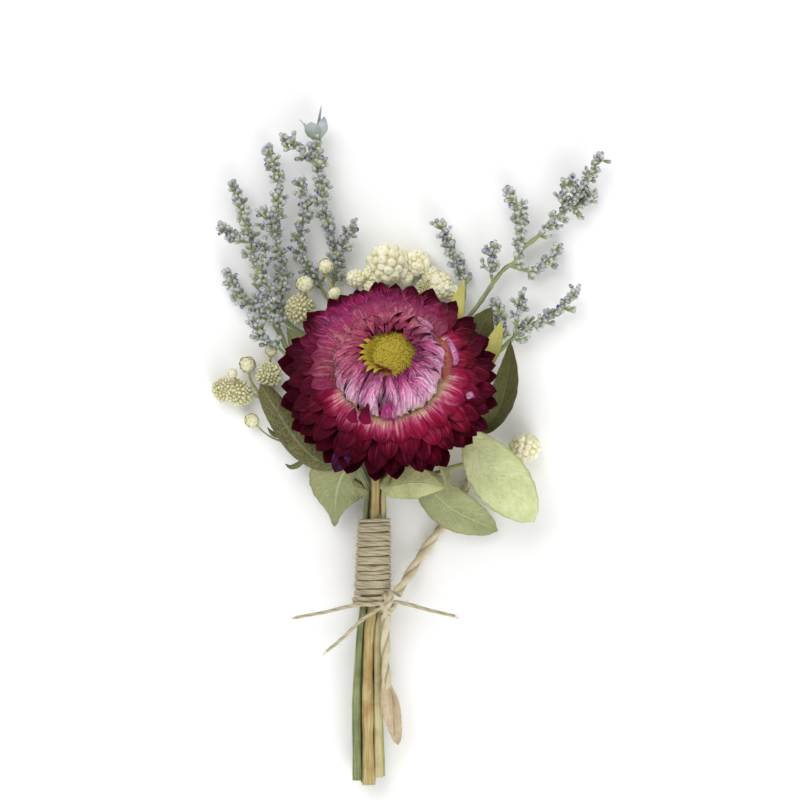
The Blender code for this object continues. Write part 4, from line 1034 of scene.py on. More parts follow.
class Recipes:
    """The bouquet's geometry node trees, each built once."""

    def __init__(self) -> None:
        """Build the trees."""
        self.ring = self._ring()
        self.sprig = self._sprig()
        self.head = self._head()
        self.disc = self._disc()
        self.strand = self._strand()
        self.fuzz = self._fuzz()

    @staticmethod
    def _ring() -> Recipe:
        """Build a ring of bracts from one bract that points along X."""
        recipe = Recipe("bract_ring", Int="Count, Seed", Vector="Hinge",
                        Float="Turn, Turn play, Tilt play, Twist play, Size play, Crinkle, Bloom, By radius, "
                              "Radius from, Radius to")
        graph, given = recipe.graph, recipe.given
        step = graph.math("DIVIDE", TURN, given["Count"])
        angle = graph.scaled(graph.plus(recipe.index(), given["Turn"]), step, recipe.play("Turn", 1.0))
        own = recipe.rotation(recipe.play("Twist", 3.0), recipe.play("Tilt", 2.0), 0.0)
        back = graph.vector("SCALE", given["Hinge"], -1.0)
        hinged = graph.out("GeometryNodeTransform", {"Geometry": given["Geometry"], "Translation": back})
        placed = recipe.copies(recipe.line(), hinged, own, graph.plus(recipe.play("Size", 4.0), 1.0))
        placed = graph.out("GeometryNodeTranslateInstances", {
            "Instances": placed, "Translation": given["Hinge"], "Local Space": False})
        spun = graph.out("GeometryNodeRotateInstances", {
            "Instances": recipe.tinted(placed), "Rotation": recipe.rotation(0.0, 0.0, angle),
            "Local Space": False})
        place = graph.out("GeometryNodeInputPosition")
        spot = graph.vector("ADD", graph.vector("SCALE", place, 260.0),
                            graph.combine(graph.times(recipe.read("tint"), 31.0), 0.0, 0.0))
        noise = graph.add("ShaderNodeTexNoise", {"Vector": spot, "Scale": 1.0, "Detail": 1.0})
        length = graph.parts(recipe.read("UVMap", "FLOAT_VECTOR"))[1]
        shift = graph.vector("SUBTRACT", noise.outputs["Color"], (0.5, 0.5, 0.5))
        shift = graph.vector("SCALE", shift, graph.times(length, given["Crinkle"]))
        made = recipe.moved(recipe.realize(spun), offset=shift)
        radius = graph.vector("LENGTH", graph.vector("MULTIPLY", place, (1, 1, 0)), (0, 0, 0))
        share = graph.math("DIVIDE", graph.minus(radius, given["Radius from"]),
                           graph.minus(given["Radius to"], given["Radius from"]))
        reach = graph.plus(graph.times(share, given["By radius"]),
                           graph.times(length, graph.minus(1.0, given["By radius"])))
        for label, value in (("bloom", given["Bloom"]), ("reach", reach)):
            made = recipe.store(made, label, value)
        return recipe.end(made)

    @staticmethod
    def _sprig() -> Recipe:
        """Build florets that stand round twigs, each leaning away from its twig."""
        recipe = Recipe("florets_on_twigs", Int="Seed", Object="Floret",
                        Float="Step, Lean, Lean play, Small, Large")
        spin = recipe.graph.scaled(recipe.index(), GOLDEN_ANGLE, recipe.draw(-0.7, 0.7, 0.0))
        turn = recipe.aimed(recipe.graph.out("GeometryNodeInputTangent"), spin)
        placed = recipe.copies(recipe.curve(), recipe.part("Floret"), turn, recipe.size(2.0))
        return recipe.end(recipe.lifted(recipe.tinted(placed)))

    @staticmethod
    def _head() -> Recipe:
        """Build round heads of scales, one at each point, as large as its radius attribute."""
        recipe = Recipe("heads_of_scales", Int="Count, Seed", Object="Scale",
                        Float="Tilt, Tilt play, Small, Large, Sink, Core")
        graph, given = recipe.graph, recipe.given
        middle = graph.times(graph.plus(recipe.index(), 0.5), 2.0)
        height = graph.minus(1.0, graph.math("DIVIDE", middle, given["Count"]))
        flat = graph.math("SQRT", graph.minus(1.0, graph.times(height, height)))
        way = recipe.polar(flat, graph.times(recipe.index(), GOLDEN_ANGLE), height)
        spots = graph.vector("SCALE", way, graph.minus(1.0, given["Sink"]))
        ball = recipe.moved(recipe.line(), position=spots)
        align = "FunctionNodeAlignRotationToVector"
        aim = graph.out(align, {"Vector": graph.out("GeometryNodeInputPosition")}, axis="Z")
        aim = graph.out(align, {"Rotation": aim, "Vector": (0, 0, 1)}, axis="Y", pivot_axis="Z")
        aim = recipe.turned(aim, (1, 0, 0), recipe.swayed("Tilt", 0.0))
        scales = recipe.tinted(recipe.copies(ball, recipe.part("Scale"), aim, recipe.size(1.0)))
        core = graph.out("GeometryNodeMeshIcoSphere", {"Radius": given["Core"], "Subdivisions": 3})
        whole = graph.add("GeometryNodeJoinGeometry")
        for part in (scales, core):
            graph.feed(whole.inputs[0], part)
        spin = recipe.rotation(recipe.draw(-0.2, 1.0, 5.0), recipe.draw(-0.7, 0.7, 6.0),
                               recipe.draw(0.0, 6.3, 7.0))
        head = recipe.realize(whole.outputs[0])
        heads = recipe.copies(given["Geometry"], head, spin, recipe.read("radius"))
        return recipe.end(recipe.lifted(heads))

    @staticmethod
    def _disc() -> Recipe:
        """Build a low dome of florets in a sunflower spiral from one floret."""
        recipe = Recipe("disc_florets", Int="Count, Seed", Float="Radius, Height, Droop, Splay, Small, Large")
        graph, given = recipe.graph, recipe.given
        share = graph.math("SQRT", graph.math("DIVIDE", graph.plus(recipe.index(), 0.5), given["Count"]))
        turn = graph.times(recipe.index(), GOLDEN_ANGLE)
        height = graph.minus(given["Height"], graph.times(share, share, given["Droop"]))
        spots = recipe.polar(graph.times(share, given["Radius"]), turn, height)
        dome = recipe.moved(recipe.line(), position=spots)
        lean = graph.scaled(graph.math("POWER", share, 3.0), given["Splay"], recipe.draw(-0.16, 0.16, 0.0))
        own = recipe.rotation(recipe.draw(-0.16, 0.16, 1.0), lean, turn)
        return recipe.end(recipe.tinted(recipe.copies(dome, given["Geometry"], own, recipe.size(2.0))))

    @staticmethod
    def _strand() -> Recipe:
        """Build strands of two twisted plies along lines of edges."""
        recipe = Recipe("twisted_strand", Int="Sides", Float="Step, Thick, Waist, Twist, Taper")
        graph, given = recipe.graph, recipe.given
        spline = graph.add("GeometryNodeSplineParameter").outputs
        curve = graph.out("GeometryNodeSetCurveTilt", {"Curve": recipe.curve(),
                                                       "Tilt": graph.times(spline["Length"], given["Twist"])})
        thin = graph.minus(1.0, graph.times(spline["Factor"], given["Taper"]))
        curve = graph.out("GeometryNodeSetCurveRadius", {"Curve": curve, "Radius": thin})
        curve = recipe.store(curve, "run", spline["Length"])
        ring = graph.out("GeometryNodeCurvePrimitiveCircle", {"Resolution": given["Sides"], "Radius": 1.0})
        spot = graph.out("GeometryNodeInputPosition")
        ring = recipe.store(ring, "ply", spot, "FLOAT_VECTOR")
        waist = graph.parts(spot)[1]
        shrink = graph.minus(1.0, graph.times(waist, waist, given["Waist"]))
        lobed = graph.vector("SCALE", graph.vector("SCALE", spot, shrink), given["Thick"])
        return recipe.end(graph.out("GeometryNodeCurveToMesh", {
            "Curve": curve, "Profile Curve": recipe.moved(ring, position=lobed), "Fill Caps": True,
            "Scale": graph.out("GeometryNodeInputRadius")}))

    @staticmethod
    def _fuzz() -> Recipe:
        """Build loose fibres that stand off a surface."""
        recipe = Recipe("loose_fibres", Int="Seed", Object="Fibre",
                        Float="Density, Lean, Lean play, Small, Large")
        given = recipe.given
        spots = recipe.graph.add("GeometryNodeDistributePointsOnFaces", {
            "Mesh": given["Geometry"], "Density": given["Density"], "Seed": given["Seed"]}).outputs
        turn = recipe.aimed(spots["Normal"], recipe.draw(0.0, TURN, 0.0))
        placed = recipe.copies(spots["Points"], recipe.part("Fibre"), turn, recipe.size(2.0))
        return recipe.end(recipe.lifted(recipe.tinted(placed)))


@dataclass(frozen=True)
class Ring:
    """A ring of bracts: the profile of one, from root to tip, as (radius, height) pairs."""

    count: int
    width: float
    profile: Profile
    cup: float = 0.6
    turn: float = 0.0
    bloom: float = 0.0
    root: float = 0.45
    widest: float = 0.70
    flute: float = 0.0
    blunt: float = 1.9

    def towards(self, other: "Ring", share: float, **changes: float) -> "Ring":
        """Return the ring that lies at a share of the way to another."""
        profile = tuple((a + (c - a) * share, b + (d - b) * share)
                        for (a, b), (c, d) in zip(self.profile, other.profile))
        width = self.width + (other.width - self.width) * share
        return replace(self, profile=profile, width=width, **changes)

    def half_width(self, share: float) -> float:
        """Return half the bract's width at a share of its length."""
        if share < self.widest:
            part = self.root + (1 - self.root) * math.sin(share / self.widest * math.pi / 2)
        else:
            part = max(0.05, (1 - ((share - self.widest) / (1 - self.widest)) ** self.blunt) ** 0.70)
        return self.width / 2 * part

    def bract(self, columns: int, rows: int, thickness: float = 0.08) -> Shape:
        """Return one bract that points along X."""
        line = smooth_route([(radius, 0.0, height) for radius, height in self.profile], 6)
        across = Vector((0, 1, 0))
        grid = []
        for i in range(rows):
            share = i / (rows - 1)
            place, ahead = along(line, share)
            half = self.half_width(share)
            lift = ahead.cross(across) * self.cup * 2 * half / self.width
            pleat = ahead.cross(across) * self.flute * math.sin(share * math.pi)
            spots = [2 * k / (columns - 1) - 1 for k in range(columns)]
            grid.append([place + across * half * u + lift * u * u + pleat * math.cos(3 * math.pi * u)
                         for u in spots])
        shape = Shape()
        shape.sheet(grid, thickness)
        return shape


@dataclass(frozen=True)
class Accent:
    """One bract that stands out: its shape, its direction round the head in degrees and its finish."""

    ring: Ring
    degrees: float
    finish: BractFinish


OPEN_SIDE = Ring(1, 6.4, ((12.0, -3.6), (18.0, -1.6), (21.6, -0.4), (23.8, 0.6)), 1.1)
WEDGE = Ring(1, 2.8, ((14.8, 4.6), (14.4, 6.4), (13.8, 8.0), (13.0, 9.6)), 0.5, widest=0.25, root=0.8,
             blunt=1.0)
COLLAR = Ring(1, 5.6, ((10.2, 4.6), (12.0, 5.9), (14.0, 6.1), (16.8, 5.0)), 0.1, widest=0.55, root=0.85,
              flute=0.14)


@dataclass(frozen=True)
class Strawflower:
    """The head, built upright round the Z axis and then leant over and put in its place."""

    recipes: Recipes
    centre: Place = (-4.2, 14.0, 18.5)
    lean: float = 26.0
    receptacle: Profile = ((1.6, -8.0), (6.0, -7.4), (10.6, -5.2), (12.4, -1.6), (11.0, 1.2))
    back: Ring = Ring(14, 5.6, ((6.4, -6.4), (12.0, -5.9), (16.2, -4.9), (18.6, -3.2)))
    open_rings: tuple[Ring, ...] = (
        Ring(26, 4.4, ((11.0, -3.0), (17.4, -0.9), (21.0, -0.5), (23.2, 0.2)), 0.35),
        Ring(26, 4.4, ((11.0, -2.0), (17.0, 0.8), (20.2, 1.0), (22.5, 0.9)), 0.3),
        Ring(26, 4.4, ((10.9, -0.6), (15.8, 2.7), (18.6, 2.6), (21.2, 1.5)), 0.2),
        Ring(24, 4.4, ((10.6, 1.4), (13.8, 4.2), (16.4, 4.2), (19.3, 2.9)), 0.15, root=0.7),
        Ring(22, 4.4, ((10.3, 4.4), (12.0, 5.5), (14.2, 5.4), (17.0, 4.4)), 0.1, root=0.8),
    )
    open_reach: tuple[float, float] = (10.4, 22.8)
    open_accents: tuple[Accent, ...] = (
        Accent(Ring(1, 4.0, ((14.0, 0.5), (18.0, 1.2), (21.4, 0.7), (24.0, -0.4)), 0.5), -118.0,
               VIOLET_BRACT),
        # painted highlight: a small pale bract
        Accent(Ring(1, 1.9, ((16.4, 3.6), (17.4, 4.6), (18.3, 4.7), (19.0, 4.1)), -0.5, blunt=1.0), -18.0,
               HIGHLIGHT_BRACT),
        Accent(OPEN_SIDE, 170.0, OUTER_BRACT),
        Accent(replace(OPEN_SIDE, width=6.0, profile=((12.0, -3.6), (18.0, -1.6), (21.6, -0.4), (23.6, 0.2))),
               194.0, OUTER_BRACT),
        Accent(WEDGE, -123.0, WEDGE_BRACT),
        Accent(replace(WEDGE, width=3.0, profile=((14.0, 4.8), (13.2, 6.8), (12.2, 8.6), (11.2, 10.4))),
               -113.0, WEDGE_BRACT),
    )
    dome_base: Profile = ((9.6, 2.0), (10.0, 4.0), (9.4, 6.8), (7.0, 9.4), (5.6, 10.6))
    dome_rings: tuple[Ring, ...] = tuple(
        Ring(count, width, profile, cup, root=0.8, widest=0.4, flute=flute)
        for count, width, profile, cup, flute in (
            (24, 3.0, ((9.8, 2.6), (11.0, 6.4), (10.6, 9.8), (8.8, 12.5), (6.2, 13.9)), -0.4, 0.15),
            (21, 2.8, ((9.0, 3.4), (10.2, 7.6), (9.6, 11.0), (7.9, 13.0), (5.6, 13.9)), -0.4, 0.15),
            (19, 2.5, ((7.9, 3.9), (9.0, 8.4), (8.4, 11.5), (7.0, 13.1), (5.1, 13.7)), -0.35, 0.13),
            (17, 2.2, ((7.1, 3.9), (7.9, 8.8), (7.2, 11.8), (6.2, 13.1), (4.7, 13.3)), -0.3, 0.12),
        ))
    dome_count: int = 6
    dome_accents: tuple[Accent, ...] = (
        Accent(Ring(1, 3.4, ((11.0, 4.6), (12.0, 7.4), (11.9, 10.2), (10.9, 12.6)), -0.5, root=0.8), -90.0,
               TONGUE_BRACT),
        *(Accent(replace(COLLAR, width=width), degrees, finish) for degrees, width, finish in (
            (44.0, 4.4, WINE_BRACT), (56.0, 5.2, WINE_BRACT), (68.0, 4.4, ROSE_BRACT),
            (80.0, 5.2, ROSE_BRACT), (92.0, 4.4, ROSE_BRACT), (104.0, 5.2, ROSE_BRACT),
            (116.0, 4.5, ROSE_BRACT), (129.0, 5.0, ROSE_BRACT), (142.0, 4.4, ROSE_BRACT),
            (155.0, 4.9, ROSE_BRACT), (168.0, 4.3, WINE_BRACT), (180.0, 4.7, WINE_BRACT),
            (192.0, 4.2, WINE_BRACT))),
        Accent(Ring(1, 9.6, ((9.8, 5.0), (10.8, 7.2), (12.1, 7.7), (13.3, 6.8)), 0.2, widest=0.5, root=0.8),
               8.0, RUSTY_BRACT),
        # painted highlights: two pale curled bracts beside the dome
        Accent(Ring(1, 6.4, ((12.6, 5.2), (13.4, 7.0), (14.3, 7.3), (15.0, 6.3)), -0.3, widest=0.5,
                    root=0.6), 15.0, HIGHLIGHT_BRACT),
        Accent(Ring(1, 4.8, ((11.2, 5.4), (12.0, 7.6), (12.9, 8.0), (13.6, 7.2)), -0.4, widest=0.5), 54.0,
               HIGHLIGHT_BRACT),
    )
    disc_base: Profile = ((5.2, 5.2), (5.6, 11.0), (4.9, 11.9), (1.4, 12.3))
    disc_radius: float = 5.6
    disc_top: float = 12.6
    disc_count: int = 620
    rays: tuple[tuple[float, float], ...] = (
        (152.0, 5.9), (168.0, 6.5), (183.0, 6.1), (197.0, 6.8), (211.0, 6.3), (224.0, 6.6), (238.0, 5.9),
    )

    def rings(self, chosen: Sequence[Ring], count: int) -> list[Ring]:
        """Return a number of rings spread evenly between the chosen ones."""
        result = []
        for i in range(count):
            at = i / (count - 1) * (len(chosen) - 1)
            low = min(int(at), len(chosen) - 2)
            result.append(chosen[low].towards(chosen[low + 1], at - low, turn=0.5 * (i % 2) + 0.13 * i,
                                              bloom=i / (count - 1)))
        return result

    def ring(self, name: str, ring: Ring, material: Material, seed: int, **play: float) -> Item:
        """Return one ring of bracts, upright at the origin.

        Args:
            name: The object's name.
            ring: Its bracts.
            material: Their material.
            seed: What its random values start from.
            play: How much the bracts differ, by the recipe's input names.

        Returns:
            The ring.
        """
        radius, height = ring.profile[0]
        bract = ring.bract(*((13, 18) if ring.flute else (7, 14)))
        return self.recipes.ring.run(name, bract.template(name + "_bract"), count=ring.count, turn=ring.turn,
                                     hinge=(radius * MM, 0.0, height * MM), bloom=ring.bloom, seed=seed,
                                     material=material, **play)

    def accents(self, chosen: Sequence[Accent], seed: int) -> list[Item]:
        """Return the single bracts that stand out."""
        return [self.ring(f"accent_{seed}_{i}", replace(accent.ring, turn=accent.degrees / 360),
                          accent.finish.make(), seed + i, crinkle=0.0009)
                for i, accent in enumerate(chosen)]

    @staticmethod
    def core(name: str, profile: Profile, level: float, sides: int, material: Material) -> Item:
        """Return the plain solid that bracts or florets stand on, coloured as at one level of them."""
        shape = Shape()
        shape.turned([(radius, height, level) for radius, height in profile], sides)
        return shape.build(name, material)

    def finished(self, parts: Sequence[Item], name: str) -> Item:
        """Return parts as one piece, leant over and in its place."""
        place = Matrix.Translation(Vector(self.centre)) @ Matrix.Rotation(-math.radians(self.lean), 4, "X")
        return put_in_place(join(parts, name), place)

    def outer_bracts(self) -> Item:
        """Build the receptacle with the open bracts."""
        open_bract, back_bract = OUTER_BRACT.make(), BACK_BRACT.make()
        parts = [self.core("receptacle", self.receptacle, 0.02, 40, back_bract)]
        parts.append(self.ring("back_ring", self.back, back_bract, 3, turn_play=0.08, tilt_play=0.05,
                               twist_play=0.2, size_play=0.06, crinkle=0.0006))
        for i, ring in enumerate(self.rings(self.open_rings, len(self.open_rings))):
            parts.append(self.ring(f"open_ring_{i}", ring, open_bract, 20 + i, turn_play=0.07, tilt_play=0.02,
                                   twist_play=0.06, size_play=0.04, crinkle=0.0008, by_radius=0.92,
                                   radius_from=self.open_reach[0] * MM, radius_to=self.open_reach[1] * MM))
        return self.finished([*parts, *self.accents(self.open_accents, 120)], "strawflower_open_bracts")

    def inner_bracts(self) -> Item:
        """Build the dome of incurved bracts."""
        material = INNER_BRACT.make()
        parts = [self.core("dome_base", self.dome_base, 0.05, 40, DOME_CORE.make())]
        for i, ring in enumerate(self.rings(self.dome_rings, self.dome_count)):
            parts.append(self.ring(f"dome_ring_{i}", ring, material, 60 + i, turn_play=0.09, tilt_play=0.05,
                                   twist_play=0.18, size_play=0.06, crinkle=0.0019))
        return self.finished([*parts, *self.accents(self.dome_accents, 140)], "strawflower_dome_bracts")

    def disc(self) -> Item:
        """Build the disc of florets, with the row of points at its ragged side."""
        material = DISC.make()
        floret = Shape()
        floret.turned([(0.11, -0.9, 0.0), (0.13, -0.2, 0.6), (0.13, 0.15, 0.8), (0.22, 0.32, 1.0),
                       (0.10, 0.26, 0.9)], 7, pleat=lambda row, k: 1.25 if row == 3 and k % 2 == 0 else 1.0)
        florets = self.recipes.disc.run("disc_floret_field", floret.template("disc_floret"),
                                        count=self.disc_count, radius=self.disc_radius * MM,
                                        height=self.disc_top * MM, droop=0.0009, splay=0.7, small=0.75,
                                        large=1.25, seed=5, material=material)
        parts = [self.core("disc_base", self.disc_base, 0.3, 32, material), florets]
        for i, (degrees, reach) in enumerate(self.rays):
            ray = Ring(1, 1.7, ((3.6, 12.6), (4.6, 13.7), (reach - 0.8, 14.1), (reach, 13.8)), 0.25,
                       turn=degrees / 360, widest=0.25, root=0.9, blunt=1.0)
            parts.append(self.ring(f"disc_ray_{i}", ray, material, 170 + i, crinkle=0.0004))
        return self.finished(parts, "strawflower_disc_florets")


class Kind(Enum):
    """What a cream head is made of."""

    CLUSTER = "round buds in a cluster"
    SCALY = "overlapping scales"
    FLUFFY = "loose narrow scales"


class Blade(Enum):
    """How a leaf looks, and the number of its material in its sprig."""

    PLAIN = 0
    NETTED = 2
    YELLOWED = 3


@dataclass(frozen=True)
class Twig:
    """A branch: its route, end radii, the share of it without florets, and if it bears a pod."""

    route: Route
    radii: tuple[float, float] = (0.38, 0.26)
    bare: float = 0.0
    pod: bool = False


@dataclass(frozen=True)
class Head:
    """A cream head: its centre, radius and kind."""

    centre: Place
    radius: float
    kind: Kind


@dataclass(frozen=True)
class Leaf:
    """A leaf: its midrib's route, size and how its blade bends.

    Tint runs from 0, pale sage, to 1, dark olive. A blunt value over 1 keeps the blade wide
    close to its tip. Roll is the angle through which each half curls down, so that the back
    of the blade shows.
    """

    midrib: Route
    half_width: float
    widest: float = 0.5
    cup: float = 0.8
    wave: float = 0.4
    blunt: float = 1.0
    roll: float = 0.0
    tint: float = 0.2
    skew: float = 0.0
    look: Blade = Blade.PLAIN

    def half(self, share: float) -> float:
        """Return half the blade's width at a share of its length."""
        rise = min(share / self.widest, (1 - share) / (1 - self.widest))
        power = 1.2 / (self.blunt if share > self.widest else 1.0)
        swell = 0.10 + 0.90 * math.sin(rise * math.pi / 2) ** power
        return self.half_width * swell * min(1, (1.02 - share) * 14)

    def blade(self, shape: Shape, seed: int, columns: int = 17, rows: int = 40) -> None:
        """Add the leaf's closed blade to a shape."""
        rng = random.Random(seed)
        phases = [rng.uniform(0, 6.3) for _ in range(4)]
        line = smooth_route(self.midrib, 8)
        grid = []
        for i in range(rows):
            share = i / (rows - 1)
            place, ahead = along(line, share)
            side = ahead.cross(UP).normalized()
            up = side.cross(ahead)
            half = self.half(share)
            fill = half / self.half_width
            row = []
            for k in range(columns):
                u = 2 * k / (columns - 1) - 1
                edge = 0 if u < 0 else 1
                ripple = self.wave * fill * u * u * (math.sin(9 * share + phases[edge])
                                                     + 0.5 * math.sin(23 * share + phases[edge + 2]))
                if self.roll:
                    bend = half / self.roll
                    out, lift = bend * math.sin(u * self.roll), bend * (math.cos(u * self.roll) - 0.4)
                else:
                    out, lift = half * u, self.cup * fill * abs(u) ** 1.5
                jag = 1 + 0.02 * abs(u) ** 6 * math.sin(61 * share + phases[edge])
                row.append(place + side * (out * jag + self.skew * fill) + up * (lift + ripple))
            grid.append(row)
        shape.sheet(grid, 0.22, self.look.value, self.tint)


BUNDLE_AXIS = (
    (-8.7, -72.0, 3.75), (-8.9, -55.0, 4.1), (-8.6, -40.0, 4.5),
    (-7.8, -33.2, 4.65), (-7.4, -15.5, 4.6), (-7.2, -9.0, 4.7),
)
STEM_SLOTS = {
    "leaf_sprig_right": 61, "leaf_sprig_upper_right": 95, "cream_stalk_right": 129,
    "sea_lavender_right_lower": 163, "sea_lavender_left_inner": 197, "sea_lavender_left_outer": 231,
    "cream_stalk_left": 265, "leaf_sprig_left": 299, "sea_lavender_right_upper": (0.62, -0.5),
    "cream_stalk_top": (-0.62, -0.5), "strawflower_stem": (0.1, 1.4),
}
STEM_ROUTES = {
    "strawflower_stem": ((-7.0, -4.0, 6.2), (-6.0, 3.0, 6.9), (-4.9, 8.0, 8.6), (-4.35, 10.1, 10.8)),
    "leaf_sprig_left": ((-10.5, -5.5, 6.3), (-12.5, 1.0, 6.2), (-15.5, 9.0, 5.9), (-18.2, 14.2, 6.0)),
    "leaf_sprig_right": ((-3.6, -5.5, 6.2), (0.0, -1.0, 6.4), (5.0, 2.4, 7.4), (9.8, 2.6, 9.0)),
    "leaf_sprig_upper_right": ((-1.2, -4.0, 4.1), (6.0, 3.4, 4.3), (10.6, 9.5, 4.9), (13.2, 16.5, 5.6)),
    "sea_lavender_left_outer": ((-13.5, -1.0, 2.4), (-21.0, 11.0, 2.0), (-26.2, 21.2, 2.5)),
    "sea_lavender_left_inner": ((-11.5, 0.0, 2.0), (-15.0, 13.0, 2.0), (-17.0, 24.0, 2.2), (-17, 32, 2.3)),
    "sea_lavender_right_upper": ((-3.6, 0.0, 3.0), (2.4, 12.0, 2.4), (8.4, 22.0, 2.3), (14.9, 30.4, 3.0)),
    "sea_lavender_right_lower": ((-0.6, -1.0, 2.1), (8.0, 9.0, 2.0), (15.0, 16.6, 2.2), (19.8, 20.9, 2.8)),
    "cream_stalk_top": ((-8.0, 0.0, 3.3), (-6.8, 14.0, 2.4), (-5.6, 25.0, 2.5), (-4.4, 36.0, 3.8)),
    "cream_stalk_left": ((-14.0, -5.6, 4.1), (-20.6, -0.8, 3.5), (-26.0, 5.0, 3.0), (-30.0, 10.0, 3.0)),
    "cream_stalk_right": ((0.0, -7.6, 3.5), (9.0, -4.4, 4.3), (17.5, -2.2, 4.4), (23.4, -0.4, 3.6)),
}
LAVENDER_TWIGS = {
    "sea_lavender_left_outer": (
        Twig(((-26.2, 21.2, 2.5), (-29.3, 28.9, 5.4), (-31.2, 34.4, 6.0), (-33.2, 40.4, 5.8),
              (-34.4, 46.0, 5.4), (-36.0, 51.2, 4.8), (-37.4, 55.4, 4.4)), (0.52, 0.32), 0.12),
        Twig(((-34.0, 43.6, 5.5), (-36.8, 44.2, 6.6), (-38.9, 46.2, 7.2)), bare=0.2),
        Twig(((-32.2, 37.4, 5.9), (-31.0, 40.0, 7.6), (-30.9, 42.6, 8.6)), bare=0.2),
        Twig(((-26.0, 20.8, 2.5), (-29.4, 27.0, 2.4), (-33.0, 30.4, 2.2), (-36.4, 32.4, 2.2),
              (-38.4, 36.6, 2.8)), (0.52, 0.32), 0.3),
        Twig(((-24.6, 18.1, 2.3), (-28.4, 21.6, 5.2), (-31.2, 23.6, 6.4), (-33.2, 26.8, 7.2)), bare=0.35),
    ),
    "sea_lavender_left_inner": (
        Twig(((-15.8, 17.4, 2.1), (-21.4, 23.4, 2.0), (-26.0, 26.6, 2.0), (-27.7, 31.0, 2.4),
              (-26.8, 38.0, 3.6), (-28.0, 44.0, 4.6), (-28.2, 50.0, 5.0), (-27.4, 55.2, 5.2),
              (-28.8, 59.2, 5.0), (-30.2, 63.4, 4.6)), (0.46, 0.28), 0.30),
        Twig(((-28.1, 45.2, 4.8), (-29.9, 46.8, 6.2), (-30.6, 49.4, 7.0)), bare=0.2),
        Twig(((-17.0, 31.6, 2.3), (-15.8, 37.0, 2.4), (-15.6, 42.0, 2.8), (-17.8, 48.6, 4.0),
              (-18.4, 55.0, 4.8), (-19.4, 61.4, 5.0), (-19.8, 66.6, 5.0)),
             (0.46, 0.28), 0.10, pod=True),
        Twig(((-19.2, 59.8, 5.0), (-22.0, 62.2, 5.6), (-25.6, 65.4, 6.2)), bare=0.2),
        Twig(((-15.6, 41.2, 2.8), (-13.6, 44.0, 4.2), (-12.4, 46.8, 5.2)), bare=0.2),
        Twig(((-17.0, 31.0, 2.3), (-20.2, 36.4, 2.2), (-22.8, 40.6, 3.2), (-23.4, 46.0, 4.2),
              (-22.0, 50.0, 5.2), (-22.9, 56.2, 5.8)), bare=0.12),
    ),
    "sea_lavender_right_upper": (
        Twig(((14.9, 30.4, 3.0), (19.8, 37.4, 3.5), (23.2, 40.2, 3.9), (23.8, 45.4, 4.3),
              (23.4, 50.8, 4.6), (21.6, 54.0, 5.0)), (0.52, 0.32), 0.42),
        Twig(((18.0, 34.9, 3.4), (17.4, 38.4, 4.8), (17.8, 41.8, 5.8)), bare=0.25),
        Twig(((23.4, 41.8, 4.0), (26.4, 44.0, 4.6), (30.2, 47.2, 4.4), (33.4, 50.6, 4.2),
              (36.4, 54.4, 4.4), (38.6, 58.2, 4.6), (40.4, 61.4, 4.8)), (0.50, 0.32), 0.2),
        Twig(((33.0, 50.2, 4.2), (32.8, 53.2, 5.8), (34.2, 56.4, 6.8)), bare=0.15),
        Twig(((34.0, 51.4, 4.2), (36.2, 51.2, 3.0), (38.6, 53.4, 2.6)), bare=0.15),
        Twig(((21.4, 38.7, 3.7), (25.8, 37.6, 3.2), (29.2, 39.2, 2.9), (31.4, 41.8, 3.2)), bare=0.3),
        Twig(((8.4, 22.0, 2.3), (11.2, 29.0, 2.0), (12.0, 35.0, 2.2), (10.0, 40.0, 3.2),
              (8.2, 43.6, 4.6), (7.3, 47.0, 5.6)), bare=0.48),
    ),
    "sea_lavender_right_lower": (
        Twig(((19.8, 20.9, 2.8), (24.0, 24.6, 3.3), (28.6, 27.2, 3.4), (32.4, 29.4, 3.6),
              (35.4, 33.0, 4.2)), (0.52, 0.32), 0.15),
        Twig(((18.8, 20.1, 2.7), (20.0, 25.4, 3.4), (19.0, 29.8, 4.2)), bare=0.3),
        Twig(((22.6, 23.4, 3.2), (23.2, 27.8, 4.8), (24.0, 31.8, 5.6)), bare=0.25),
    ),
}
CREAM_TWIGS = {
    "cream_stalk_top": (
        Twig(((-5.8, 24.0, 2.5), (-1.4, 31.0, 2.6), (1.7, 37.4, 3.0))),
        Twig(((-1.8, 30.4, 2.6), (2.6, 32.2, 2.8), (5.6, 33.6, 3.0))),
        Twig(((-6.4, 18.0, 2.4), (-9.6, 27.0, 3.6), (-11.2, 34.6, 4.4))),
        Twig(((-6.0, 22.0, 2.45), (-7.4, 29.0, 4.4), (-7.9, 33.0, 5.4))),
        Twig(((-6.6, 16.0, 2.4), (-11.4, 24.0, 4.6), (-15.4, 31.4, 6.0), (-17.5, 37.2, 6.4))),
        Twig(((-10.6, 22.6, 4.3), (-17.6, 26.8, 5.2), (-21.4, 28.8, 4.2), (-22.2, 33.4, 4.6))),
    ),
    "cream_stalk_left": (
        Twig(((-29.6, 9.4, 3.0), (-33.4, 11.2, 3.0), (-38.6, 12.1, 3.0))),
        Twig(((-26.4, 5.4, 3.0), (-28.4, 10.6, 3.0), (-29.8, 14.4, 3.0), (-29.5, 20.0, 2.4))),
        Twig(((-31.4, 10.6, 3.0), (-33.6, 13.8, 3.0), (-34.5, 17.0, 2.8))),
        Twig(((-34.0, 11.3, 3.0), (-36.4, 13.6, 4.6), (-37.4, 15.2, 5.4))),
        Twig(((-21.0, -0.5, 3.5), (-27.4, 1.2, 3.2), (-30.6, 2.8, 2.8), (-33.2, 5.2, 2.2)), (0.28, 0.18)),
    ),
    "cream_stalk_right": (),
}
